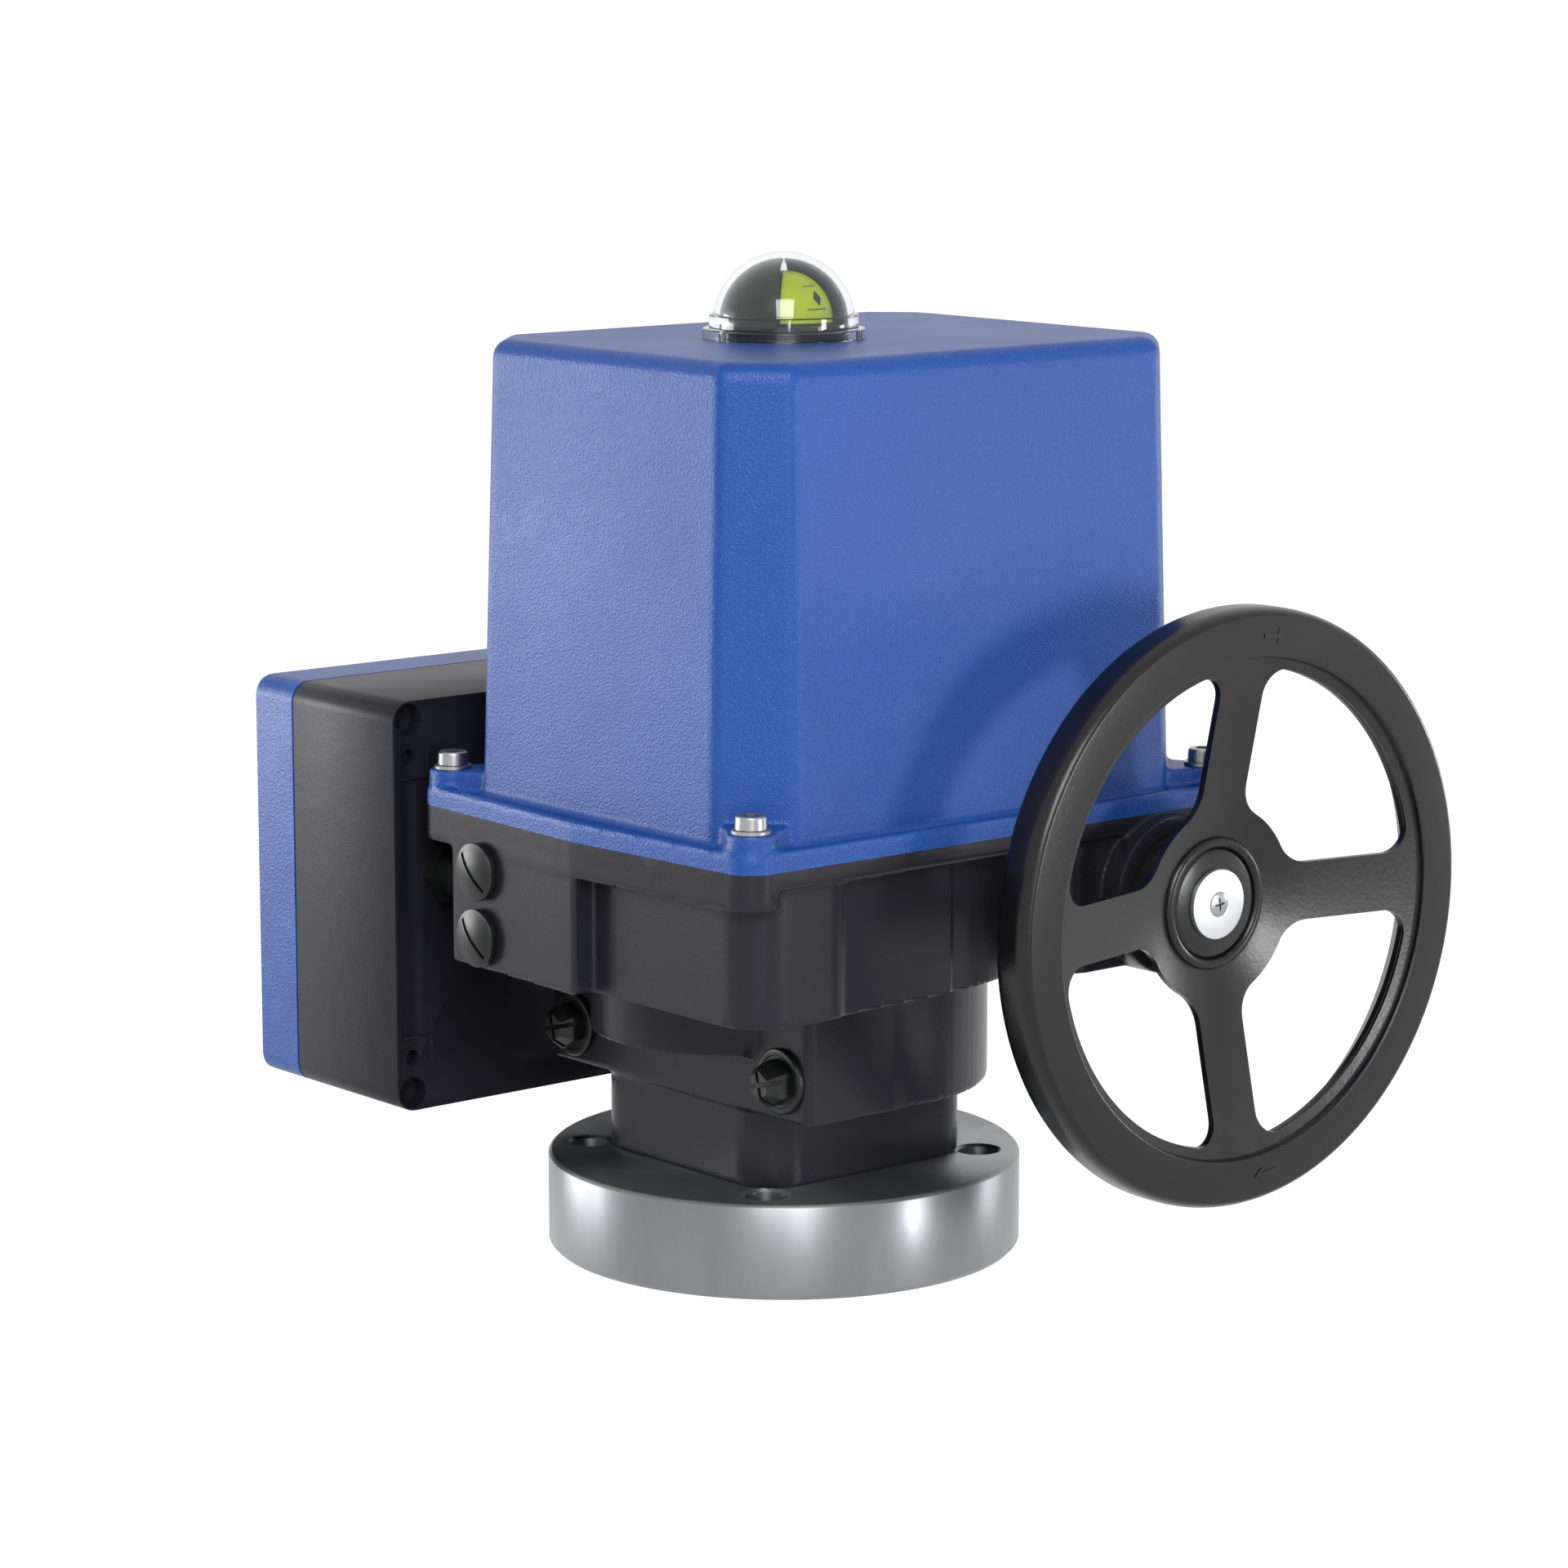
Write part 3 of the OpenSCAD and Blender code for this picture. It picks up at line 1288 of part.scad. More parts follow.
module enclosure_lid() {
    y0 = box_y1 + 1.2;
    color(cover_blue) difference() {
        union() {
            difference() {
                box_part(y0, box_y2, 0);
                box_part(y0 - 1, box_y2 - box_wall, box_wall);
            }
            intersection() {
                at_box_corners(box_corner) along_y(0, box_y2, 0)
                    cylinder(h = box_lid_d - 1.2, r = box_corner);
                box_part(y0, box_y2, 0);
            }
        }
        at_box_corners(box_corner) {
            along_y(0, box_y2 + 1, 0) cylinder(h = box_lid_d + 2, r = lid_screw_r + 0.3);
            along_y(0, box_y2 + 1, 0) cylinder(h = 5, r = 5.6);
        }
    }
}

module lid_screws() {
    y0 = box_y2 - 4;
    color(bright) at_box_corners(box_corner) along_y(0, y0, 0) difference() {
        union() {
            translate([0, 0, -3.6]) cylinder(h = 3.6, r = 5);
            cylinder(h = box_lid_d + 12, r = lid_screw_r);
        }
        translate([0, 0, -4]) cylinder(h = 2.5, r = 2.8, $fn = 6);
    }
}

module enclosure_mounts() {
    color(bright) for (i = [0, 1], z = mount_z) {
        y0 = i ? rim_y1 : back_y;
        along_y(mount_x[i], box_y0, z) cylinder(h = box_y0 - y0, r = mount_r);
        along_y(mount_x[i], box_y0 + box_wall + 5, z) cylinder(h = 5, r = screw_head_r);
        along_y(mount_x[i], box_y0 + box_wall + 5, z)
            cylinder(h = box_y0 + box_wall + 5 - y0 + 12, r = mount_screw_r);
    }
}

module cable_nipple() {
    color(bright) along_y(nipple_x, box_y0 + box_wall + 6, nipple_z) difference() {
        union() {
            cylinder(h = box_y0 + box_wall + 6 - back_y + 4.8, r = nipple_r);
            cylinder(h = 6, r = nipple_r + 4, $fn = 6);
            translate([0, 0, 6 + box_wall]) cylinder(h = 5, r = nipple_r + 4, $fn = 6);
        }
        translate([0, 0, -1]) cylinder(h = 60, r = nipple_r - 3);
    }
}

module control_board() {
    color("#1d5a3a") {
        translate([board_x0, board_y, board_z0]) cube([board_w, 1.6, board_h]);
        for (x = [board_x0 + 6, board_x0 + board_w - 6], z = [board_z0 + 6, board_z0 + board_h - 6])
            along_y(x, board_y, z) cylinder(h = board_y - box_y0 - box_wall, r = 3);
    }
}

module board_parts() {
    x0 = board_x0;
    z0 = board_z0 + board_h - 118;
    y0 = board_y + 1.6;
    color("#30343a") {
        translate([x0 + 12, y0, z0 + 64]) cube([42, 36, 44]);
        for (i = [0:3]) translate([x0 + 66 + 19 * i, y0, z0 + 72]) cube([15.5, 24, 29]);
        translate([x0 + 70, y0, z0 + 30]) cube([28, 3, 28]);
        for (i = [0:2]) along_y(x0 + 18 + 15 * i, y0 + 20, z0 + 44) cylinder(h = 20, r = 6);
    }
}

module enclosure_terminals() {
    pitch = 8;
    n = floor((board_w - 20) / pitch);
    color("#3f7f5a") translate([board_x0 + 10, board_y + 1.6, board_z0 + 4]) difference() {
        cube([n * pitch + 2, 14, 12]);
        for (i = [0:n - 1]) translate([3 + pitch * i, 6, -1]) cube([5, 12, 7]);
    }
}

adapter_flange();
flange_screws();
gear_housing();
conduit_plugs();
plug_seals();
stop_screws();
stop_caps();
lower_bush();
upper_bush();
sleeve_seal();
output_sleeve();
drive_bush();
worm_wheel();
wheel_key();
stop_quadrant();
worm_shaft();
worm_bearings();
worm_seal();
bearing_cover();
bearing_cover_screws();
worm_gear();
handwheel();
hub_key();
hub_cap();
hub_screw();
gear_plate();
plate_screws();
motor_bracket();
motor();
gearhead();
motor_shaft();
drive_pinion();
idler_pin();
idler_gear();
indicator_shaft();
cams();
switch_bracket();
limit_switches();
terminal_block();
capacitor();
heater();
motor_cover();
cover_seal();
cover_screws();
cover_washers();
indicator_dome();
dome_seal();
dome_nut();
dome_mask();
marker_core();
marker_panels();
enclosure_base();
enclosure_seal();
enclosure_lid();
lid_screws();
enclosure_mounts();
cable_nipple();
control_board();
board_parts();
enclosure_terminals();
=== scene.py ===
import json
import math

import bmesh
import bpy
from mathutils import Matrix, Vector


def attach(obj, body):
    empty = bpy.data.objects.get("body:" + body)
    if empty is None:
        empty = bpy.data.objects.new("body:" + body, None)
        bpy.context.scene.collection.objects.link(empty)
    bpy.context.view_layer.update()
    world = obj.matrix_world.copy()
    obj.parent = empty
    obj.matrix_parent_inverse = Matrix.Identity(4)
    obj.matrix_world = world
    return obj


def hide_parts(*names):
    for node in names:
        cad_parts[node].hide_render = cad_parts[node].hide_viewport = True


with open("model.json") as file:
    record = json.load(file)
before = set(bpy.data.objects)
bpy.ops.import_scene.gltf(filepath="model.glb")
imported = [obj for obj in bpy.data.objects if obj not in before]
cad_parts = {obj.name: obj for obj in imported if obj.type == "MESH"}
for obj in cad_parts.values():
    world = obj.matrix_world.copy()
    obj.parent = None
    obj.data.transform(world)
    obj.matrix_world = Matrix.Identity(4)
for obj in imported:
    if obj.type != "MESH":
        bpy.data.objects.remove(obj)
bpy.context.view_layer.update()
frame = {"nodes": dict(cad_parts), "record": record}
nodes = frame["nodes"]
mm = 0.001

# Heights, axes and points that several pieces share, in millimetres
place = {
    "discTop": 40.0, "stopZ": 73.0, "caseZ": 123.0, "partingZ": 186.5, "coverTop": 383.0,
    "rimX0": -113.1, "rimX1": 156.5, "rimY0": -112.9, "rimY1": 106.0,
    "lugX": (-102.1, 145.5), "lugY": (-101.9, 95.0),
    "wormX": 111.7, "wormZ": 152.4, "nippleX": -90.0,
    "plugY": 58.1, "plugZ": (164.2, 136.3), "plugFace": 116.6,
    "capY": (-68.6, 68.6), "capZ": 89.5,
}
lugPoints = [(x, y, 0) for x in place["lugX"] for y in place["lugY"]]
wormAxis = (place["wormX"], 0, place["wormZ"])

# Distances under which points are one, in a whole piece, along a turned body's seam, and from its axis
welding = {"piece": 0.0005, "seam": 0.0008, "axis": 1e-6}


# Mesh helpers; a body is in millimetres until toObject
def newBm():
    return bmesh.new()


def toObject(bm, name):
    bmesh.ops.remove_doubles(bm, verts=bm.verts, dist=welding["piece"])
    bmesh.ops.scale(bm, vec=(mm, mm, mm), verts=bm.verts)
    mesh = bpy.data.meshes.new(name)
    bm.to_mesh(mesh)
    bm.free()
    obj = bpy.data.objects.new(name, mesh)
    bpy.context.scene.collection.objects.link(obj)
    return obj


# A finished object's body, back in millimetres, without the object
def fromObject(obj):
    bm = newBm()
    bm.from_mesh(obj.data)
    bpy.data.objects.remove(obj)
    bmesh.ops.scale(bm, vec=(1 / mm, 1 / mm, 1 / mm), verts=bm.verts)
    return bm


def outward(bm):
    bmesh.ops.recalc_face_normals(bm, faces=bm.faces)
    return bm


def join(target, *others):
    for other in others:
        mesh = bpy.data.meshes.new("joined")
        other.to_mesh(mesh)
        other.free()
        target.from_mesh(mesh)
        bpy.data.meshes.remove(mesh)
    return target


def merged(bodies):
    return join(bodies[0], *bodies[1:])


# Points on an arc or, with its own ry, on a part of an ellipse
def arcPoints(cx, cy, r, a0, a1, n, ry=None):
    ry = ry or r
    angles = [math.radians(a0 + (a1 - a0) * i / n) for i in range(n + 1)]
    return [(cx + r * math.cos(a), cy + ry * math.sin(a)) for a in angles]


def polar(radius, degrees):
    return (radius * math.cos(math.radians(degrees)), radius * math.sin(math.radians(degrees)))


def bevel(bm, edges, offset, segments, clamp=True):
    bmesh.ops.bevel(bm, geom=edges, offset=offset, offset_type="OFFSET", segments=segments,
                    profile=0.5, affect="EDGES", clamp_overlap=clamp, material=-1)


# A box whose four edges along one axis may be rounded
def block(x0, x1, y0, y1, z0, z1, radius=0.0, axis=2, segments=6):
    bm = newBm()
    bmesh.ops.create_cube(bm, size=1.0)
    bmesh.ops.scale(bm, vec=(x1 - x0, y1 - y0, z1 - z0), verts=bm.verts)
    bmesh.ops.translate(bm, vec=((x0 + x1) / 2, (y0 + y1) / 2, (z0 + z1) / 2), verts=bm.verts)
    if radius:
        edges = [e for e in bm.edges if abs((e.verts[0].co - e.verts[1].co).normalized()[axis]) > 0.9]
        bevel(bm, edges, radius, segments)
    return bm


def placed(bm, axis="Z", centre=(0, 0, 0)):
    turn = {"Z": Matrix.Identity(3), "-Y": Matrix.Rotation(math.pi / 2, 3, "X"),
            "-X": Matrix.Rotation(-math.pi / 2, 3, "Y")}[axis]
    bmesh.ops.rotate(bm, cent=(0, 0, 0), matrix=turn, verts=bm.verts)
    bmesh.ops.translate(bm, vec=centre, verts=bm.verts)
    return bm


def turned(bm, degrees):
    turn = Matrix.Rotation(math.radians(degrees), 3, "Z")
    bmesh.ops.rotate(bm, cent=(0, 0, 0), matrix=turn, verts=bm.verts)
    return bm


# A turned body from a profile of (radius, height) that is closed or ends on the axis
def spin(profile, steps=64, axis="Z", centre=(0, 0, 0)):
    bm = newBm()
    verts = [bm.verts.new((r, 0, h)) for r, h in profile]
    edges = [bm.edges.new((a, b)) for a, b in zip(verts, verts[1:])]
    if profile[0][0] > welding["axis"] or profile[-1][0] > welding["axis"]:
        edges.append(bm.edges.new((verts[-1], verts[0])))
    bmesh.ops.spin(bm, geom=verts + edges, cent=(0, 0, 0), axis=(0, 0, 1), angle=math.tau, steps=steps,
                   use_merge=True, use_normal_flip=False, use_duplicate=False)
    bmesh.ops.remove_doubles(bm, verts=bm.verts, dist=welding["seam"])
    return placed(outward(bm), axis, centre)


def rod(radius, low, high, axis="Z", centre=(0, 0, 0), steps=48):
    bm = newBm()
    bmesh.ops.create_cone(bm, cap_ends=True, segments=steps, radius1=radius, radius2=radius, depth=high - low)
    bmesh.ops.translate(bm, vec=(0, 0, (low + high) / 2), verts=bm.verts)
    return placed(bm, axis, centre)


def rods(centres, radius, low, high, axis="Z", steps=48):
    return merged([rod(radius, low, high, axis, centre, steps) for centre in centres])


# A flat outline raised into a prism
def outline(points, z0, z1):
    bm = newBm()
    face = bm.faces.new([bm.verts.new((x, y, z0)) for x, y in points])
    raised = bmesh.ops.extrude_face_region(bm, geom=[face])["geom"]
    top = [g for g in raised if isinstance(g, bmesh.types.BMVert)]
    bmesh.ops.translate(bm, vec=(0, 0, z1 - z0), verts=top)
    return outward(bm)


def hexagon(radius, z0, z1, tip=1.0):
    bm = outline(arcPoints(0, 0, radius, 0, 300, 5), z0, z1)
    top = [v for v in bm.verts if v.co.z > (z0 + z1) / 2]
    bmesh.ops.scale(bm, vec=(tip, tip, 1), verts=top)
    return bm


# Takes away what lies past a plane and closes the cut
def cutAway(bm, at, normal):
    everything = bm.verts[:] + bm.edges[:] + bm.faces[:]
    bmesh.ops.bisect_plane(bm, geom=everything, plane_co=at, plane_no=normal, clear_outer=True)
    bmesh.ops.holes_fill(bm, edges=bm.edges, sides=0)


def applied(obj):
    graph = bpy.context.evaluated_depsgraph_get()
    mesh = bpy.data.meshes.new_from_object(obj.evaluated_get(graph))
    old = obj.data
    obj.modifiers.clear()
    obj.data = mesh
    bpy.data.meshes.remove(old)
    return obj


# Cuts the given bodies from a piece, or adds them to it
def combine(obj, bodies, operation="DIFFERENCE"):
    tools = [toObject(bm, "tool") for bm in bodies]
    for tool in tools:
        change = obj.modifiers.new("cut", "BOOLEAN")
        change.solver = "MANIFOLD"
        change.operation = operation
        change.object = tool
    applied(obj)
    for tool in tools:
        mesh = tool.data
        bpy.data.objects.remove(tool)
        bpy.data.meshes.remove(mesh)


# Runs one skin over overlapping bodies and softens its edges as a casting's fillets
def castOver(obj, voxel, rounds, keep):
    skin = obj.modifiers.new("skin", "REMESH")
    skin.mode = "VOXEL"
    skin.voxel_size = voxel * mm
    skin.use_smooth_shade = True
    soft = obj.modifiers.new("soft", "SMOOTH")
    soft.factor = 0.5
    soft.iterations = rounds
    obj.modifiers.new("thin", "DECIMATE").ratio = keep
    applied(obj)


# Rounds the edges of a body that turn by more than the given angle
def softened(obj, width, segments, degrees):
    soft = obj.modifiers.new("soft", "BEVEL")
    soft.width = width * mm
    soft.segments = segments
    soft.limit_method = "ANGLE"
    soft.angle_limit = math.radians(degrees)
    return applied(obj)


def finishPiece(obj, material, body, replaced, smooth=30):
    mesh = obj.data
    mesh.materials.clear()
    mesh.materials.append(materials[material])
    mesh.polygons.foreach_set("material_index", [0] * len(mesh.polygons))
    mesh.shade_smooth()
    mesh.set_sharp_from_angle(angle=math.radians(smooth))
    mesh.update()
    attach(obj, body)
    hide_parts(*replaced)
    print(f"{obj.name}: {sum(len(p.vertices) - 2 for p in mesh.polygons)} triangles")


# Shader helpers
def setOrLink(tree, value, socket):
    if isinstance(value, bpy.types.NodeSocket):
        tree.links.new(value, socket)
    else:
        socket.default_value = value


def shaderGroup(name, inputs, outputs):
    group = bpy.data.node_groups.new(name, "ShaderNodeTree")
    for label, value in inputs:
        socket = group.interface.new_socket(name=label, in_out="INPUT", socket_type="NodeSocketFloat")
        socket.default_value = value
    for label in outputs:
        group.interface.new_socket(name=label, in_out="OUTPUT", socket_type="NodeSocketFloat")
    coords = group.nodes.new("ShaderNodeTexCoord").outputs["Object"]
    return group, group.nodes.new("NodeGroupInput").outputs, group.nodes.new("NodeGroupOutput").inputs, coords


def noise(tree, coords, scale, detail, rough):
    n = tree.nodes.new("ShaderNodeTexNoise")
    n.inputs["Detail"].default_value = detail
    n.inputs["Roughness"].default_value = rough
    tree.links.new(coords, n.inputs["Vector"])
    tree.links.new(scale, n.inputs["Scale"])
    return n.outputs["Fac"]


def maths(tree, operation, a, b, clamp=False):
    n = tree.nodes.new("ShaderNodeMath")
    n.operation = operation
    n.use_clamp = clamp
    setOrLink(tree, a, n.inputs[0])
    setOrLink(tree, b, n.inputs[1])
    return n.outputs[0]


def spread(tree, value, low, high, newLow, newHigh):
    n = tree.nodes.new("ShaderNodeMapRange")
    tree.links.new(value, n.inputs["Value"])
    for label, v in (("From Min", low), ("From Max", high), ("To Min", newLow), ("To Max", newHigh)):
        n.inputs[label].default_value = v
    return n.outputs["Result"]


# Grain height, mottle and a speck mask of a cast, moulded or coated surface; on the blue coat the speck mask
# carries painted glints
def buildSkin():
    group, given, made, coords = shaderGroup(
        "surfaceSkin", [("Grain Scale", 900.0), ("Mottle Scale", 14.0), ("Grain Sharpness", 0.5)],
        ["Height", "Mottle", "SpecksAndGlints"])
    scale = given["Grain Scale"]
    grain = noise(group, coords, scale, 2.0, 0.5)
    coarse = noise(group, coords, maths(group, "MULTIPLY", scale, 0.23), 2.0, 0.5)
    blended = group.nodes.new("ShaderNodeMix")
    blended.data_type = "FLOAT"
    group.links.new(given["Grain Sharpness"], blended.inputs["Factor"])
    group.links.new(coarse, blended.inputs["A"])
    group.links.new(grain, blended.inputs["B"])
    group.links.new(blended.outputs["Result"], made["Height"])
    mottle = noise(group, coords, given["Mottle Scale"], 5.0, 0.6)
    group.links.new(spread(group, mottle, 0.3, 0.7, 0.0, 1.0), made["Mottle"])
    # speck mask: real flecks on some materials, painted glints of the grain on the blue coat
    specksAndGlints = noise(group, coords, maths(group, "MULTIPLY", scale, 1.7), 1.0, 0.5)
    group.links.new(spread(group, specksAndGlints, 0.62, 0.74, 0.0, 1.0), made["SpecksAndGlints"])
    return group


# Fine lines left by a lathe round the Z axis, with blotches of handling
def buildTooling():
    group, given, made, coords = shaderGroup("toolMarks", [("Line Scale", 700.0), ("Blotch Scale", 30.0)],
                                             ["Lines", "Blotch"])
    split = group.nodes.new("ShaderNodeSeparateXYZ")
    group.links.new(coords, split.inputs[0])
    flat = group.nodes.new("ShaderNodeCombineXYZ")
    group.links.new(split.outputs[0], flat.inputs[0])
    group.links.new(split.outputs[1], flat.inputs[1])
    length = group.nodes.new("ShaderNodeVectorMath")
    length.operation = "LENGTH"
    group.links.new(flat.outputs[0], length.inputs[0])
    rings = group.nodes.new("ShaderNodeCombineXYZ")
    group.links.new(length.outputs["Value"], rings.inputs[0])
    group.links.new(split.outputs[2], rings.inputs[1])
    group.links.new(noise(group, rings.outputs[0], given["Line Scale"], 2.0, 0.6), made["Lines"])
    stretched = group.nodes.new("ShaderNodeMapping")
    stretched.inputs["Scale"].default_value = (1.0, 1.0, 0.28)
    group.links.new(coords, stretched.inputs["Vector"])
    blotch = noise(group, stretched.outputs[0], given["Blotch Scale"], 6.0, 0.65)
    group.links.new(spread(group, blotch, 0.32, 0.68, 0.0, 1.0), made["Blotch"])
    return group


# A mask of rubbed edges, broken up by noise
def buildWear():
    group, given, made, coords = shaderGroup("edgeWear", [("Amount", 0.5), ("Break Scale", 60.0)], ["Wear"])
    point = group.nodes.new("ShaderNodeNewGeometry").outputs["Pointiness"]
    rim = spread(group, point, 0.52, 0.6, 0.0, 1.0)
    broken = spread(group, noise(group, coords, given["Break Scale"], 4.0, 0.6), 0.4, 0.65, 0.0, 1.0)
    both = maths(group, "MULTIPLY", rim, broken, True)
    group.links.new(maths(group, "MULTIPLY", both, given["Amount"], True), made["Wear"])
    return group


groups = {"skin": buildSkin(), "tool": buildTooling(), "wear": buildWear()}


def linear(hexColour):
    out = []
    for i in (1, 3, 5):
        c = int(hexColour[i:i + 2], 16) / 255
        out.append(c / 12.92 if c <= 0.04045 else ((c + 0.055) / 1.055) ** 2.4)
    return (*out, 1.0)


def useGroup(tree, key, **values):
    n = tree.nodes.new("ShaderNodeGroup")
    n.node_tree = groups[key]
    for label, value in values.items():
        n.inputs[label.replace("_", " ")].default_value = value
    return n.outputs


def mixColour(tree, factor, a, b):
    n = tree.nodes.new("ShaderNodeMix")
    n.data_type = "RGBA"
    tree.links.new(factor, n.inputs["Factor"])
    for label, value in (("A", a), ("B", b)):
        setOrLink(tree, value, [s for s in n.inputs if s.name == label and s.type == "RGBA"][0])
    return [s for s in n.outputs if s.type == "RGBA"][0]


def blankMaterial(name):
    mat = bpy.data.materials.new(name)
    mat.use_nodes = True
    return mat, mat.node_tree, mat.node_tree.nodes["Principled BSDF"]


# Feeds a shader its colour, a roughness that follows a mask, and a bump from a height
def feed(tree, shader, colour, mask, rough, height, strength, depth):
    tree.links.new(colour, shader.inputs["Base Color"])
    tree.links.new(spread(tree, mask, 0.0, 1.0, *rough), shader.inputs["Roughness"])
    n = tree.nodes.new("ShaderNodeBump")
    n.inputs["Strength"].default_value = strength
    n.inputs["Distance"].default_value = depth * mm
    tree.links.new(height, n.inputs["Height"])
    tree.links.new(n.outputs["Normal"], shader.inputs["Normal"])


# Paint, casting skin, moulded plastic or rubber: two shades, a grain that feeds the bump, rubbed edges, and a
# speck colour that is real flecks on some materials and painted glints on the blue coat
def coated(name, base, shade, grain, depth, rough, mottle=14.0, sharpness=0.5, wearColour=None, wear=0.0,
           speckAndGlint=None, ior=1.5):
    mat, tree, shader = blankMaterial(name)
    skin = useGroup(tree, "skin", Grain_Scale=grain, Mottle_Scale=mottle, Grain_Sharpness=sharpness)
    colour = mixColour(tree, skin["Mottle"], linear(base), linear(shade))
    # speck colour laid on by the speck mask; on the blue coat these lighter specks are painted glints
    if speckAndGlint:
        colour = mixColour(tree, maths(tree, "MULTIPLY", skin["SpecksAndGlints"], 0.5), colour, linear(speckAndGlint))
    if wearColour:
        colour = mixColour(tree, useGroup(tree, "wear", Amount=wear)["Wear"], colour, linear(wearColour))
    feed(tree, shader, colour, skin["Mottle"], rough, skin["Height"], 1.0, depth)
    shader.inputs["IOR"].default_value = ior
    return mat


# Bare metal with tooling lines and blotches
def machined(name, base, shade, rough, lines, depth, blotch, anisotropic=0.0):
    mat, tree, shader = blankMaterial(name)
    tool = useGroup(tree, "tool", Line_Scale=lines, Blotch_Scale=blotch)
    colour = mixColour(tree, tool["Blotch"], linear(base), linear(shade))
    feed(tree, shader, colour, tool["Blotch"], rough, tool["Lines"], 0.6, depth)
    shader.inputs["Metallic"].default_value = 1.0
    shader.inputs["Anisotropic"].default_value = anisotropic
    shader.inputs["Anisotropic Rotation"].default_value = 0.25
    return mat


def clearPlastic(name):
    mat, tree, shader = blankMaterial(name)
    skin = useGroup(tree, "skin", Grain_Scale=120.0, Mottle_Scale=30.0, Grain_Sharpness=0.2)
    colour = mixColour(tree, skin["Mottle"], linear("#ffffff"), linear("#f4f8fa"))
    feed(tree, shader, colour, skin["Mottle"], (0.015, 0.05), skin["Height"], 0.3, 0.05)
    shader.inputs["Transmission Weight"].default_value = 1.0
    shader.inputs["IOR"].default_value = 1.38
    return mat


materials = {
    # the blue coat's lighter specks are painted glints, standing for its grain's sparkle in the sheen
    "bluePaint": coated("bluePowderCoat", "#0f4796", "#0d428d", 1150.0, 0.32, (0.35, 0.42), mottle=9.0,
                        sharpness=0.85, wearColour="#4a7cd0", wear=0.25, speckAndGlint="#5580c4", ior=1.4),
    "casting": coated("paintedCasting", "#23232a", "#1f1f26", 800.0, 0.07, (0.24, 0.31), mottle=11.0,
                      sharpness=0.6, wearColour="#47474f", wear=0.3, ior=1.29),
    "boxGrey": coated("boxMoulding", "#1a1a22", "#17171f", 1000.0, 0.12, (0.38, 0.46), mottle=10.0,
                      wearColour="#404047", wear=0.2, ior=1.27),
    "discSteel": machined("turnedSteel", "#888a8d", "#7c7f82", (0.34, 0.42), 900.0, 0.012, 26.0, 0.7),
    "steel": machined("groundSteel", "#a7abb0", "#92969b", (0.25, 0.4), 900.0, 0.015, 45.0),
    "stainless": machined("stainlessScrew", "#a2a4a5", "#94969a", (0.28, 0.38), 1500.0, 0.008, 120.0),
    "bronze": machined("bronzeAlloy", "#b88c46", "#a27a3a", (0.28, 0.42), 900.0, 0.015, 50.0),
    "wheelBlack": coated("wheelEnamel", "#0d0d0e", "#0b0b0c", 600.0, 0.08, (0.23, 0.29), mottle=16.0,
                         sharpness=0.6, wearColour="#3a3a3d", wear=0.2, ior=1.42),
    "blackPlastic": coated("blackMoulding", "#141515", "#111212", 1300.0, 0.05, (0.32, 0.4), mottle=40.0,
                           wearColour="#3a3b3b", wear=0.3, ior=1.36),
    "rubber": coated("sealRubber", "#1b1b1b", "#171717", 1500.0, 0.06, (0.6, 0.75), mottle=40.0),
    "aluminium": machined("brushedDisc", "#d5d7d9", "#cbced1", (0.34, 0.42), 1200.0, 0.01, 90.0),
    "gold": machined("anodisedHeater", "#b8924a", "#a5813c", (0.35, 0.5), 800.0, 0.02, 60.0),
    "motorGrey": coated("motorEnamel", "#4c5057", "#454950", 900.0, 0.08, (0.4, 0.5), wearColour="#7a7f87",
                        wear=0.3),
    "whitePlastic": coated("paleMoulding", "#d2cec2", "#c8c4b8", 1200.0, 0.05, (0.4, 0.5), mottle=40.0,
                           wearColour="#e4e1d8", wear=0.2),
    "lime": coated("limePanel", "#9fae07", "#96a506", 1400.0, 0.03, (0.35, 0.45), mottle=60.0,
                   speckAndGlint="#8a990c", ior=1.4),
    "boardGreen": coated("boardResist", "#1c5b3a", "#184f32", 500.0, 0.06, (0.3, 0.42), mottle=60.0,
                         speckAndGlint="#c9b26a"),
    "clear": clearPlastic("clearDome"),
}
print("materials ready")


# Adapter disc
disc = {"radius": 100.0, "height": 40.0, "bore": 42.0, "edge": 1.3, "foot": 2.0, "holeCircle": 82.5,
        "holeRadius": 8.75, "holeChamfer": 1.2, "screwCircle": 60.0, "screwHead": 9.7, "headDepth": 15.0,
        "screwHole": 6.5}


# Four points round the output axis, between the X and Y axes
def fourAt(radius):
    return [(*polar(radius, a), 0) for a in (45, 135, 225, 315)]


def makeDisc():
    r, h, e, foot = disc["radius"], disc["height"], disc["edge"], disc["foot"]
    bm = spin([(disc["bore"], 0), (r - foot, 0), (r - 0.15, foot - 0.1), (r, foot + 0.25), (r, h - e - 0.2),
               (r - 0.15, h - e + 0.05), (r - e - 0.05, h - 0.12), (r - e - 0.3, h), (disc["bore"], h)], 144)
    obj = toObject(bm, "adapterDisc")
    hr, c = disc["holeRadius"], disc["holeChamfer"]
    hole = [(0, -1), (hr + c + 1, -1), (hr, c), (hr, h - c), (hr + c + 1, h + 1), (0, h + 1)]
    screws = fourAt(disc["screwCircle"])
    combine(obj, [merged([spin(hole, 40, "Z", p) for p in fourAt(disc["holeCircle"])]),
                  rods(screws, disc["screwHead"], -1, disc["headDepth"]),
                  rods(screws, disc["screwHole"], -1, h + 1, steps=32)])
    finishPiece(obj, "discSteel", "housing", ["adapter_flange"], smooth=32)


makeDisc()

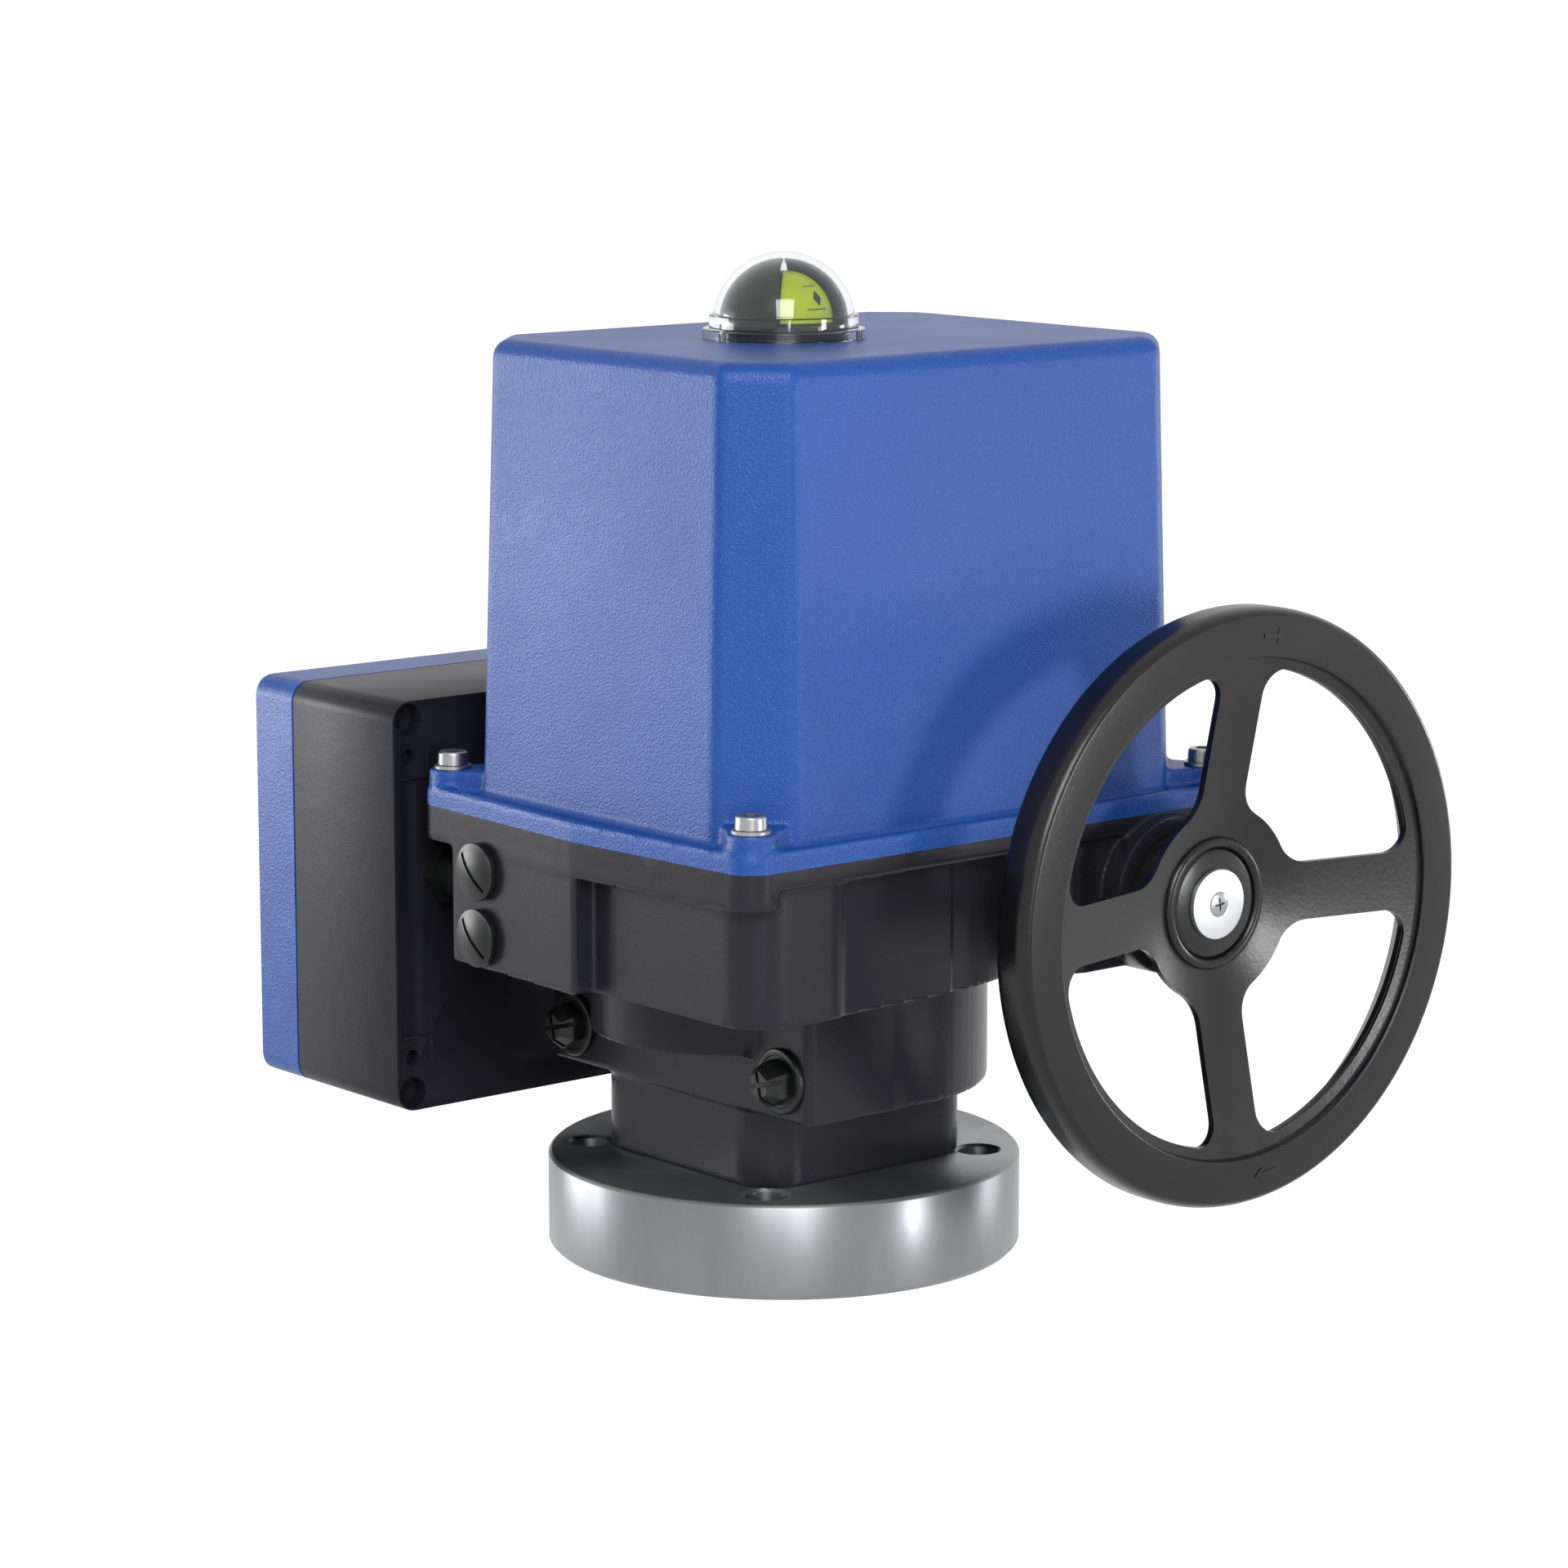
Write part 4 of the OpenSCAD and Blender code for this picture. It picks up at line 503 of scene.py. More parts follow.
# Gear housing
housing = {"footHalf": 57.5, "footRadius": 18.5, "footTop": 76.0, "stopRadius": 86.0, "stopFace": -58.5,
           "stopHalf": 85.0, "stopTop": 124.0, "stopCorner": 3.0, "drumX": -27.5, "drumRadius": 60.0,
           "drumZ": 96.7, "drumTop": 125.0, "caseRadius": 102.0, "caseLeft": -108.0, "caseFront": -110.0,
           "caseBack": 98.0, "caseInner": -50.0, "frontCorner": 17.5, "frontGable": 7.0, "frontGableX": 2.5,
           "rimDepth": 7.5, "lugDepth": 15.0, "lugRadius": 11.0, "gable": 5.5, "gableY": -7.0,
           "gableReach": 12.0, "stripWidth": 14.0, "padY": (-8.9, 81.0), "padX": -83.0, "padOut": (5.4, 0.8),
           "blockX": (64.0, 150.0), "blockCorner": 6.0, "bossRadius": 33.4, "bossFront": -121.5,
           "spotRadius": 14.4, "spotFloor": 116.0, "spotDepth": 8.0, "overbuild": 4.0, "voxel": 1.0,
           "softRounds": 6, "keepShare": 0.24}

# The casting's bores, as radius, low end and high end; the window over the tunnel is half its width and two Y
# ends, and the screw holes' ends are counted down and up from the parting
bores = {"sleeve": (50.05, 38, 80), "gearSpace": (90.0, 126.5, 200), "tunnel": (30.2, -78, 90),
         "window": (26.5, 54, 80), "shaft": (21.0, 80, 140), "bearing": (26.05, 97, 140),
         "seal": (27.4, 116.5, 140), "backCover": (31.05, -120, -78), "wiring": (7.0, 134, 200),
         "wiringX": -88.0, "stopSpace": (80.5, 78, 133), "stopWall": -54.3, "plug": (10.05, 88, 125),
         "cap": (6.05, 5, 70), "nipple": (10.05, -105, -92), "screw": (4.05, 13, 5)}


# The rim's rectangle, or a strip of its conduit side, with the shallow gable there
def rimPrism(z0, z1, depth=None):
    x0, x1, y0, y1 = place["rimX0"], place["rimX1"], place["rimY0"], place["rimY1"]
    low, high = place["lugY"]
    inner = x0 + housing["gableReach"]
    gable = outline([(inner, low), (x0, low), (x0 - housing["gable"], housing["gableY"]), (x0, high),
                     (inner, high)], z0, z1)
    if depth:
        return join(gable, block(x0, x0 + depth, low, high, z0, z1))
    return join(gable, block(x0, x1, y0, y1, z0, z1, housing["lugRadius"], segments=8))


# A round chamber with one flat side that faces -X
def flatChamber(radius, low, high, flat):
    chamber = rod(radius, low, high, steps=96)
    cutAway(chamber, (flat, 0, 0), (-1, 0, 0))
    return outward(chamber)


def makeHousing():
    h, b = housing, bores
    parting, caseZ = place["partingZ"], place["caseZ"]
    top = parting + h["overbuild"]
    f, left, front = h["footHalf"], h["caseLeft"], h["caseFront"]
    gableX = left + h["frontCorner"]
    padLow, padHigh = h["padY"]
    body = block(-f, f, -f, f, place["discTop"], h["footTop"], h["footRadius"], segments=8)
    join(body, flatChamber(h["stopRadius"], place["stopZ"], h["stopTop"], h["stopFace"]),
         block(h["stopFace"], 0, -h["stopHalf"], h["stopHalf"], place["stopZ"], h["stopTop"],
               h["stopCorner"], segments=3),
         rod(h["drumRadius"], h["drumZ"], h["drumTop"], centre=(h["drumX"], 0, 0), steps=80),
         rod(h["caseRadius"], caseZ, top, steps=96),
         block(left, h["caseInner"], front, h["caseBack"], caseZ, top, h["frontCorner"], segments=8),
         outline([(gableX, front), (h["frontGableX"], front + h["frontGable"]), (0, 0), (gableX, 0)],
                 caseZ, parting),
         block(*h["blockX"], front, place["rimY1"], caseZ, top, h["blockCorner"], segments=4),
         rimPrism(parting - h["rimDepth"], top),
         rimPrism(parting - h["lugDepth"], top, h["stripWidth"]),
         rod(h["bossRadius"], -place["rimY1"], -h["bossFront"], "-Y", wormAxis, 72),
         outline([(h["padX"], padLow), (place["rimX0"] - h["padOut"][0], padLow),
                  (place["rimX0"] - h["padOut"][1], padHigh), (h["padX"], padHigh)], caseZ, parting))
    for centre in lugPoints:
        join(body, rod(h["lugRadius"], parting - h["lugDepth"], top, centre=centre))
    obj = toObject(body, "gearHousing")
    castOver(obj, h["voxel"], h["softRounds"], h["keepShare"])

    def wormBore(radius, low, high, steps=64):
        return rod(radius, low, high, "-Y", wormAxis, steps)
    # machined faces and bores
    wx, wz = place["wormX"], place["wormZ"]
    half, back, ahead = b["window"]
    cuts = [block(-200, 200, -200, 200, parting, parting + 20),
            block(-200, 200, -200, 200, 20, place["discTop"] + 0.02),
            rod(*b["sleeve"]), rod(*b["gearSpace"], steps=96), wormBore(*b["tunnel"]),
            block(wx - half, wx + half, back, ahead, wz, 200), wormBore(*b["shaft"], 48),
            wormBore(*b["bearing"]), wormBore(*b["seal"]), wormBore(*b["backCover"]),
            rod(*b["wiring"], centre=(b["wiringX"], place["plugY"], 0)),
            flatChamber(*b["stopSpace"], b["stopWall"])]
    plugs = [(0, place["plugY"], z) for z in place["plugZ"]]
    cuts += [rod(h["spotRadius"], h["spotFloor"], place["plugFace"] + h["spotDepth"], "-X", p) for p in plugs]
    cuts += [rod(*b["plug"], "-X", p) for p in plugs]
    cuts += [rod(*b["cap"], "-X", (0, y, place["capZ"])) for y in place["capY"]]
    cuts.append(rod(*b["nipple"], "-Y", (place["nippleX"], 0, wz)))
    screwRadius, below, above = b["screw"]
    cuts.append(rods(lugPoints, screwRadius, parting - below, parting + above, steps=24))
    combine(obj, cuts)
    finishPiece(obj, "casting", "housing", ["gear_housing"], smooth=28)


makeHousing()

# Motor cover
cover = {"ledge": 10.0, "leg": 23.5, "lipHeight": 8.3, "draft": 1.7, "cornerOffset": 2.6, "topRadius": 7.0,
         "wall": 5.0, "innerCorner": 2.0, "innerTop": 4.0, "lugRadius": 10.0, "lugHeight": 15.0,
         "spread": 17.0, "reach": 20.0, "holeRadius": 4.5, "domeHole": 29.1, "domeSeat": 32.5,
         "seatDepth": 1.6, "beadHeight": 1.9, "beadWidth": 4.6, "underbuild": 4.0, "voxel": 1.25,
         "softRounds": 4, "keepShare": 0.32}


# The drafted eight-sided wall, closed at both ends
def wallLoft(inset, z0, z1, topRadius, cornerOffset):
    x0, x1, y0, y1 = place["rimX0"], place["rimX1"], place["rimY0"], place["rimY1"]
    share = 2 - math.sqrt(2)
    bm = newBm()
    rings = []
    for z in (z0, z1):
        i = inset + (z - place["partingZ"] - cover["lipHeight"]) * math.tan(math.radians(cover["draft"]))
        leg = cover["leg"] - share * (i - cover["ledge"])
        ax, bx, ay, by = x0 + i, x1 - i, y0 + i, y1 - i
        corners = [(ax + leg, ay), (bx - leg, ay), (bx, ay + leg), (bx, by - leg), (bx - leg, by),
                   (ax + leg, by), (ax, by - leg), (ax, ay + leg)]
        rings.append(bm.faces.new([bm.verts.new((x, y, z)) for x, y in corners]))
    bmesh.ops.bridge_loops(bm, edges=[e for f in rings for e in f.edges])
    outward(bm)
    bevel(bm, [e for e in bm.edges if abs(e.verts[0].co.z - e.verts[1].co.z) > 10], cornerOffset, 4)
    top = [e for e in bm.edges if min(e.verts[0].co.z, e.verts[1].co.z) > z1 - 0.01]
    bevel(bm, top, topRadius, 6, clamp=False)
    return outward(bm)


# A lug with a round end at its screw and flanks that spread towards the wall
def lugBlock(centre, turn, z0, z1):
    c = cover
    half = c["lugRadius"] - 1
    wide = half + c["reach"] * math.tan(math.radians(c["spread"]))
    flanks = outline([(0, -half), (c["reach"], -wide), (c["reach"], wide), (0, half)], z0, z1)
    return placed(turned(join(flanks, rod(c["lugRadius"], z0, z1)), turn), "Z", centre)


# Four bars that stand along the lip's outer edge
def lipBead(z0, z1):
    x0, x1, y0, y1, w = place["rimX0"], place["rimX1"], place["rimY0"], place["rimY1"], cover["beadWidth"]
    g, gy = housing["gable"], housing["gableY"]
    low, high = place["lugY"]
    left = outline([(x0, low), (x0 + w, low), (x0 - g + w, gy), (x0 + w, high), (x0, high), (x0 - g, gy)],
                   z0, z1)
    return [left, block(x1 - w, x1, low, high, z0, z1), block(*place["lugX"], y0, y0 + w, z0, z1),
            block(*place["lugX"], y1 - w, y1, z0, z1)]


def makeCover():
    c = cover
    parting, top = place["partingZ"], place["coverTop"]
    foot, lip = parting - c["underbuild"], parting + c["lipHeight"]
    body = rimPrism(foot, lip - c["beadHeight"])
    join(body, *lipBead(parting + 1, lip), wallLoft(c["ledge"], foot, top, c["topRadius"], c["cornerOffset"]))
    for centre, turn in zip(lugPoints, (45, -45, 135, 225)):
        join(body, lugBlock(centre, turn, foot, parting + c["lugHeight"]))
    obj = toObject(body, "motorCover")
    castOver(obj, c["voxel"], c["softRounds"], c["keepShare"])
    inside = wallLoft(c["ledge"] + c["wall"], parting - 2, top - c["wall"], c["innerTop"], c["innerCorner"])
    combine(obj, [block(-300, 300, -300, 300, parting - 20, parting + 0.02), inside,
                  rods(lugPoints, c["holeRadius"], parting - 2, parting + 20, steps=24),
                  rod(c["domeHole"], top - 8, top + 5, steps=64),
                  rod(c["domeSeat"], top - c["seatDepth"], top + 5, steps=64)])
    finishPiece(obj, "bluePaint", "housing", ["motor_cover"], smooth=28)


makeCover()

# Handwheel
wheel = {"radius": 125.0, "front": 164.0, "depth": 20.5, "faceIn": 105.6, "faceOut": 121.3, "shoulder": 7.5,
         "wallRadius": 100.0, "wallDepth": 5.2, "backRadius": 6.0, "hubFace": 144.0, "hubBack": 123.0,
         "plateRadius": 41.0, "plateFace": 146.7, "dish": 0.222, "sheet": 3.0, "windowRadius": 100.4,
         "spokeHalf": 12.25, "hubFillet": 16.0, "rimFillet": 10.0, "edge": 1.1, "bore": 9.05, "lipRound": 0.8,
         "arrowRadius": 113.5, "arrowHeight": 0.35, "arrowAt": (84, -84)}


# One opening between two spokes, with a fillet at each of its four corners
def spokeWindow(turn):
    half, outer, inner = wheel["spokeHalf"], wheel["windowRadius"], wheel["plateRadius"]
    fo, fi = wheel["rimFillet"], wheel["hubFillet"]
    ox = math.sqrt((outer - fo) ** 2 - (half + fo) ** 2)
    ix = math.sqrt((inner + fi) ** 2 - (half + fi) ** 2)
    oa, ia = math.degrees(math.atan2(half + fo, ox)), math.degrees(math.atan2(half + fi, ix))
    side = (arcPoints(ix, half + fi, fi, 180 + ia, 270, 9) + arcPoints(ox, half + fo, fo, -90, oa, 9)
            + arcPoints(0, 0, outer, oa + 2, 45, 12))
    other = [(y, x) for x, y in reversed(side)][1:]
    return turned(outline(side + other + arcPoints(0, 0, inner, 90 - ia - 2, ia + 2, 12), 80, 200), turn)


# A plain bent arrow in relief on the rim's face, its tip a few degrees to the given side
def rimArrow(middle, way):
    r, front = wheel["arrowRadius"], wheel["front"]
    tip, neck, tail = middle + 3.2 * way, middle + 1.0 * way, middle - 3.0 * way
    return outline([polar(r - 1.0, tail), polar(r - 1.0, neck), polar(r - 3.2, neck), polar(r, tip),
                    polar(r + 3.2, neck), polar(r + 1.0, neck), polar(r + 1.0, tail)],
                   front - 0.6, front + wheel["arrowHeight"])


# The height of the dished plate's face at a radius
def plateLevel(radius):
    return wheel["plateFace"] + (radius - wheel["plateRadius"]) * wheel["dish"]


def makeHandwheel():
    w = wheel
    r, f, wall, lip = w["radius"], w["front"], w["wallRadius"], w["lipRound"]
    b = f - w["depth"]
    hollow = w["faceIn"] - 0.7 - wall - 0.5
    rim = spin(arcPoints(w["faceOut"], f - w["shoulder"], r - w["faceOut"], 0, 90, 10, w["shoulder"])
               + [(w["faceIn"] + 0.5, f)] + arcPoints(w["faceIn"] + 0.1, f - lip, lip, 90, 180, 4)
               + arcPoints(wall + 0.5, f - lip, hollow, 0, -90, 8, w["wallDepth"] - lip)
               + [(wall + 0.1, f - w["wallDepth"] - 0.3), (wall, f - w["wallDepth"] - 0.8), (wall, f - 8),
                  (wall + 0.8, f - 8.6), (wall + 4, f - 9.5), (wall + 10, b + 1.6)]
               + arcPoints(wall + 12, b + 1.6, 1.6, 200, 270, 4)
               + arcPoints(r - w["backRadius"], b + w["backRadius"], w["backRadius"], -90, 0, 8), 160)
    face, back = w["hubFace"], w["hubBack"]
    hub = spin([(w["bore"], back), (20, back), (22, back + 1.5), (26, face - 4)]
               + arcPoints(25.6, face - 1.1, 2.4, 0, 180, 10)
               + [(22.6, face - 0.5), (21.4, face), (w["bore"], face)], 96)
    dished = [(x, plateLevel(x)) for x in (w["plateRadius"], 55.0, 70.0, 85.0, w["faceIn"] - 1.4)]
    front = [(22.0, face - 1.6), (28.4, face - 0.5), (31.5, face + 0.2), (36.0, face + 1.3)] + dished
    spokes = toObject(spin([(x, y - w["sheet"]) for x, y in front] + front[::-1], 128), "spokes")
    combine(spokes, [spokeWindow(a) for a in (0, 90, 180, 270)])
    softened(spokes, w["edge"], 3, 45)
    whole = join(fromObject(spokes), rim, hub, *[rimArrow(a, -1) for a in w["arrowAt"]])
    placed(whole, "-Y", wormAxis)
    obj = toObject(whole, "handwheel")
    finishPiece(obj, "wheelBlack", "worm", ["handwheel"], smooth=34)


makeHandwheel()

# Conduit plugs
plug = {"radius": 12.3, "rim": 2.4, "dome": 4.8, "neck": 10.0, "neckLength": 13.0, "slotWidth": 1.7,
        "slotLength": 20.8, "slotFloor": 2.0, "slotTurn": 45, "edge": 0.25}


def makePlugs():
    p = plug
    r, rim, half, width = p["radius"], p["rim"], p["slotLength"] / 2, p["slotWidth"] / 2
    crown = [(r * k / 9, p["dome"] - (p["dome"] - rim) * (k / 9) ** 2) for k in range(8, -1, -1)]
    profile = [(0, -p["neckLength"]), (p["neck"], -p["neckLength"]), (p["neck"], 0), (r - 0.4, 0), (r, 0.4),
               (r, rim - 0.1), (r - 0.25, rim + 0.2)] + crown
    heads, slots = [], []
    for z in place["plugZ"]:
        at = (-place["plugFace"], place["plugY"], z)
        heads.append(spin(profile, 72, "-X", at))
        slot = turned(block(-half, half, -width, width, p["slotFloor"], p["dome"] + 2), p["slotTurn"])
        slots.append(placed(slot, "-X", at))
    obj = toObject(merged(heads), "conduitPlugs")
    combine(obj, slots)
    softened(obj, p["edge"], 2, 50)
    finishPiece(obj, "blackPlastic", "housing", ["conduit_plugs"])


makePlugs()

# Caps over the travel stop screws
stopCap = {"face": 58.5, "flange": 13.75, "flangeThick": 2.6, "across": 17.0, "hexHeight": 7.6,
           "height": 12.5, "tip": 0.6, "slotWidth": 1.9, "slotFloor": 6.4, "turn": (15, 105), "bore": 6.3,
           "boreTop": 1.6, "spare": 0.5, "edge": 0.35}


def makeStopCaps():
    c = stopCap
    r, t, inner, half = c["flange"], c["flangeThick"], c["bore"] - c["spare"], c["slotWidth"] / 2
    hexRadius = c["across"] / math.sqrt(3)
    caps = []
    for y in place["capY"]:
        obj = toObject(spin([(inner, 0), (r - 0.3, 0), (r, 0.3), (r, t - 1.0)]
                            + arcPoints(r - 1.0, t - 1.0, 1.0, 0, 90, 4)
                            + [(r - 2.6, t), (r - 3.0, t - 0.35), (inner, t - 0.35)], 72), "stopCap")
        combine(obj, [hexagon(hexRadius, 0.2, c["hexHeight"]),
                      hexagon(hexRadius, c["hexHeight"] - 0.002, c["height"], c["tip"])], "UNION")
        slots = [turned(block(-16, 16, -half, half, c["slotFloor"], 20), a) for a in c["turn"]]
        combine(obj, [rod(c["bore"], -1, c["slotFloor"] - c["boreTop"])] + slots)
        softened(obj, c["edge"], 2, 32)
        caps.append(placed(fromObject(obj), "-X", (-c["face"], y, place["capZ"])))
    finishPiece(toObject(merged(caps), "stopCaps"), "blackPlastic", "housing", ["stop_caps"])


makeStopCaps()

# Cover screws and washers
coverScrew = {"head": 6.5, "headHeight": 5.6, "shank": 4.0, "length": 28.6, "socket": 3.5, "socketDepth": 3.6,
              "washer": 8.0, "washerThick": 1.6, "seat": 201.5, "turn": 20, "turnStep": 25}


def makeCoverScrews():
    c = coverScrew
    r, shank, w, t, seat = c["head"], c["shank"], c["washer"], c["washerThick"], c["seat"]
    z0 = seat + t
    top, tip = z0 + c["headHeight"], z0 - c["length"]
    screw = ([(0, tip + t), (shank - 0.6, tip + t), (shank, tip + 2.4), (shank, z0), (r - 0.25, z0),
              (r, z0 + 0.25), (r - 0.25, top - 1.0)]
             + arcPoints(r - 1.25, top - 1.0, 1.0, 15, 90, 4) + [(4.3, top), (0, top)])
    washer = [(shank + 0.3, seat), (w - 0.2, seat), (w, seat + 0.2), (w, seat + t - 0.35),
              (w - 0.3, seat + t), (shank + 0.3, seat + t)]
    obj = toObject(merged([spin(screw, 64, "Z", p) for p in lugPoints]), "coverScrews")
    sockets = []
    for i, p in enumerate(lugPoints):
        socket = turned(hexagon(c["socket"], top - c["socketDepth"], top + 2), c["turn"] + c["turnStep"] * i)
        sockets.append(placed(socket, "Z", p))
    combine(obj, sockets)
    finishPiece(obj, "stainless", "housing", ["cover_screws"], smooth=28)
    washers = toObject(merged([spin(washer, 64, "Z", p) for p in lugPoints]), "coverWashers")
    finishPiece(washers, "stainless", "housing", ["cover_washers"], smooth=28)


makeCoverScrews()

# Disc and screw in the handwheel's hub
hubCap = {"radius": 14.75, "thick": 2.5, "screwHead": 5.1, "proud": 0.35, "crossLength": 5.4,
          "crossWidth": 0.9, "crossDepth": 1.4, "crossTurn": (8, 98), "shank": 3.0, "screwLength": 14.0}


def makeHubCap():
    h = hubCap
    at = (place["wormX"], -wheel["hubFace"], place["wormZ"])
    r, t, head, shank = h["radius"], h["thick"], h["screwHead"], h["shank"]
    foot = t - h["screwLength"]
    cap = spin([(shank, 0), (r - 0.3, 0), (r, 0.3), (r, t - 0.7), (r - 0.2, t - 0.25), (r - 0.7, t),
                (head + 0.15, t), (shank + 0.15, t - 2.0)], 96, "-Y", at)
    finishPiece(toObject(cap, "hubDisc"), "aluminium", "worm", ["hub_cap"])
    top, half, w = t + h["proud"], h["crossLength"] / 2, h["crossWidth"] / 2
    screw = toObject(spin([(0, foot), (shank - 0.2, foot), (shank - 0.1, t - 2.2), (head - 0.1, t - 0.1),
                           (head, t + 0.05), (head - 0.6, top), (0, top + 0.25)], 64, "-Y", at), "hubScrew")
    bars = [turned(block(-half, half, -w, w, top - h["crossDepth"], top + 2), a) for a in h["crossTurn"]]
    combine(screw, [placed(bar, "-Y", at) for bar in bars])
    finishPiece(screw, "stainless", "worm", ["hub_screw"])


makeHubCap()

# Clear dome with its mask and the turning marker
dome = {"base": 383.0, "centre": 388.9, "radius": 29.6, "inner": 27.0, "flange": 33.7, "flangeThick": 4.0,
        "collar": 31.0, "collarTop": 392.8, "spigot": 29.0, "spigotInner": 24.0, "spigotFoot": 373.0,
        "notch": (62, 182, 298), "notchWidth": 4.5, "notchDepth": 1.6, "mask": 26.8, "maskThick": 1.5,
        "maskGap": 0.3}
# the lines are given by their height and half their angle
marker = {"z": 390.3, "radius": 20.3, "skin": 1.5, "plate": 2.0, "hole": 5.1, "panelGap": 0.25,
          "coreGap": 0.03, "lines": ((5.2, 15), (14.2, 13)), "lineTurn": 4, "lozenge": (3.2, 2.2),
          "lozengeTilt": 62, "lozengeTurn": 8}


# Keeps the parts of a turned body that lie in two opposite quarters; turn 0 keeps those along X
def quarters(bm, turn, gap):
    kept = newBm()
    source = bpy.data.meshes.new("quarter")
    bm.to_mesh(source)
    bm.free()
    for side in (0, 180):
        part = newBm()
        part.from_mesh(source)
        for a in (turn + side + 135, turn + side - 135):
            x, y = polar(1, a)
            cutAway(part, (-x * gap, -y * gap, 0), (x, y, 0))
        join(kept, outward(part))
    bpy.data.meshes.remove(source)
    return kept


def makeClearDome():
    d = dome
    c, r, base, flange, collar = d["centre"], d["radius"], d["base"], d["flange"], d["collar"]
    top, collarTop = base + d["flangeThick"], d["collarTop"]
    start = math.degrees(math.asin((collarTop - c) / r))
    shell = spin(arcPoints(0, c, d["inner"], 90, 0, 18)
                 + [(d["inner"], base + 0.1), (d["spigotInner"], base - 0.2),
                    (d["spigotInner"], d["spigotFoot"]), (d["spigot"], d["spigotFoot"]),
                    (d["spigot"], base + 0.02), (flange - 0.3, base + 0.02),
                    (flange, base + 0.3), (flange, top - 0.4), (flange - 0.4, top), (collar + 0.2, top),
                    (collar, top + 0.3), (collar, collarTop - 0.5), (collar - 0.5, collarTop)]
                 + arcPoints(0, c, r, start, 90, 18), 128)
    obj = toObject(shell, "positionDome")
    w = d["notchWidth"] / 2
    combine(obj, [turned(block(flange - d["notchDepth"], flange + 3, -w, w, base - 1, top + 1), a)
                  for a in d["notch"]])
    finishPiece(obj, "clear", "housing", ["indicator_dome"])


# Black quarters under the dome, over a ring round the marker
def makeDomeMask():
    c, base, m, inner = dome["centre"], dome["base"], dome["mask"], dome["mask"] - dome["maskThick"]
    z, ring = marker["z"], marker["radius"] + 2
    shell = spin(arcPoints(0, c, inner, 90, 0, 14) + [(inner, base + 1), (m, base + 1), (m, c)]
                 + arcPoints(0, c, m, 0, 90, 14), 96)
    foot = spin([(ring, base + 0.1), (m, base + 0.1), (m, z - 1.2), (m - 0.4, z - 1), (ring + 0.3, z - 1),
                 (ring, z - 1.3)], 96)
    mask = toObject(join(quarters(shell, 0, dome["maskGap"]), foot), "domeMask")
    finishPiece(mask, "blackPlastic", "housing", ["dome_mask"])


# A level line in relief on the marker, as long as its angle says
def markerLine(height, degrees):
    z, level = marker["z"] + height, math.sqrt(marker["radius"] ** 2 - height ** 2)
    bm = newBm()
    section = ((-0.4, -0.22), (0.12, -0.22), (0.12, 0.22), (-0.4, 0.22))
    verts = [bm.verts.new((level + out, 0, z + up)) for out, up in section]
    face = bm.faces.new(verts)
    bmesh.ops.spin(bm, geom=[face] + list(face.edges) + verts, cent=(0, 0, 0), axis=(0, 0, 1),
                   angle=math.radians(degrees), steps=8, use_merge=False, use_normal_flip=False,
                   use_duplicate=False)
    return outward(bm)


def makeMarker():
    k = marker
    z, mr = k["z"], k["radius"]
    skin = mr - k["skin"]
    outer = arcPoints(0, z, mr, 0, 90, 12)
    panels = quarters(spin(arcPoints(0, z, skin, 90, 0, 12) + outer, 96), 90, k["panelGap"])
    finishPiece(toObject(panels, "markerPanels"), "lime", "output", ["marker_panels"])
    core = spin([(k["hole"], z - k["plate"]), (mr, z - k["plate"]), (mr, z - 0.1), (skin - 0.05, z - 0.1)]
                + arcPoints(0, z, skin - 0.05, 1, 90, 12) + [(0, z + 6), (k["hole"], z + 6)], 96)
    join(core, quarters(spin(arcPoints(0, z, skin - 0.1, 90, 0, 10) + outer, 96), 0, k["coreGap"]))
    # two level lines and a plain lozenge on each lime quarter
    wide, high = k["lozenge"]
    for side in (-90, 90):
        for height, half in k["lines"]:
            join(core, turned(markerLine(height, 2 * half), side - half + k["lineTurn"]))
        mark = outline([(-wide, 0), (0, -high), (wide, 0), (0, high)], mr - 0.5, mr + 0.12)
        tilt = Matrix.Rotation(math.radians(k["lozengeTilt"]), 3, "Y")
        bmesh.ops.rotate(mark, cent=(0, 0, 0), matrix=tilt, verts=mark.verts)
        bmesh.ops.translate(mark, vec=(0, 0, z), verts=mark.verts)
        join(core, turned(mark, side + k["lozengeTurn"]))
    finishPiece(toObject(core, "markerCore"), "blackPlastic", "output", ["marker_core"])


makeClearDome()
makeDomeMask()
makeMarker()

# Control enclosure
enclosure = {"x": (-118.7, 131.3), "z": (50.7, 228.2), "y": (115.0, 189.2), "lidY": (190.4, 219.4),
             "edge": 9.0, "wall": 4.0, "corner": 8.0, "pillar": 7.6, "cornerHole": 6.8, "cornerDepth": 8.0,
             "smallBoss": 7.0, "smallHole": 3.5, "smallDepth": 6.0, "smallZ": (73.9, 204.2), "mountHole": 4.6,
             "mountX": (-68.0, 71.0), "mountZ": (136.4, 169.4), "nippleHole": 10.2, "ribHeight": 1.0,
             "ribWidth": 1.1, "ribEdge": 0.3, "counterbore": 5.6, "boreDepth": 5.0, "screwHole": 3.3,
             "screwDepth": 20.0, "baseEdge": 0.8, "lidEdge": 2.2}


# The points (x, 0, z) where two pairs of lines cross
def crossings(xs, zs):
    return [(x, 0, z) for x in xs for z in zs]


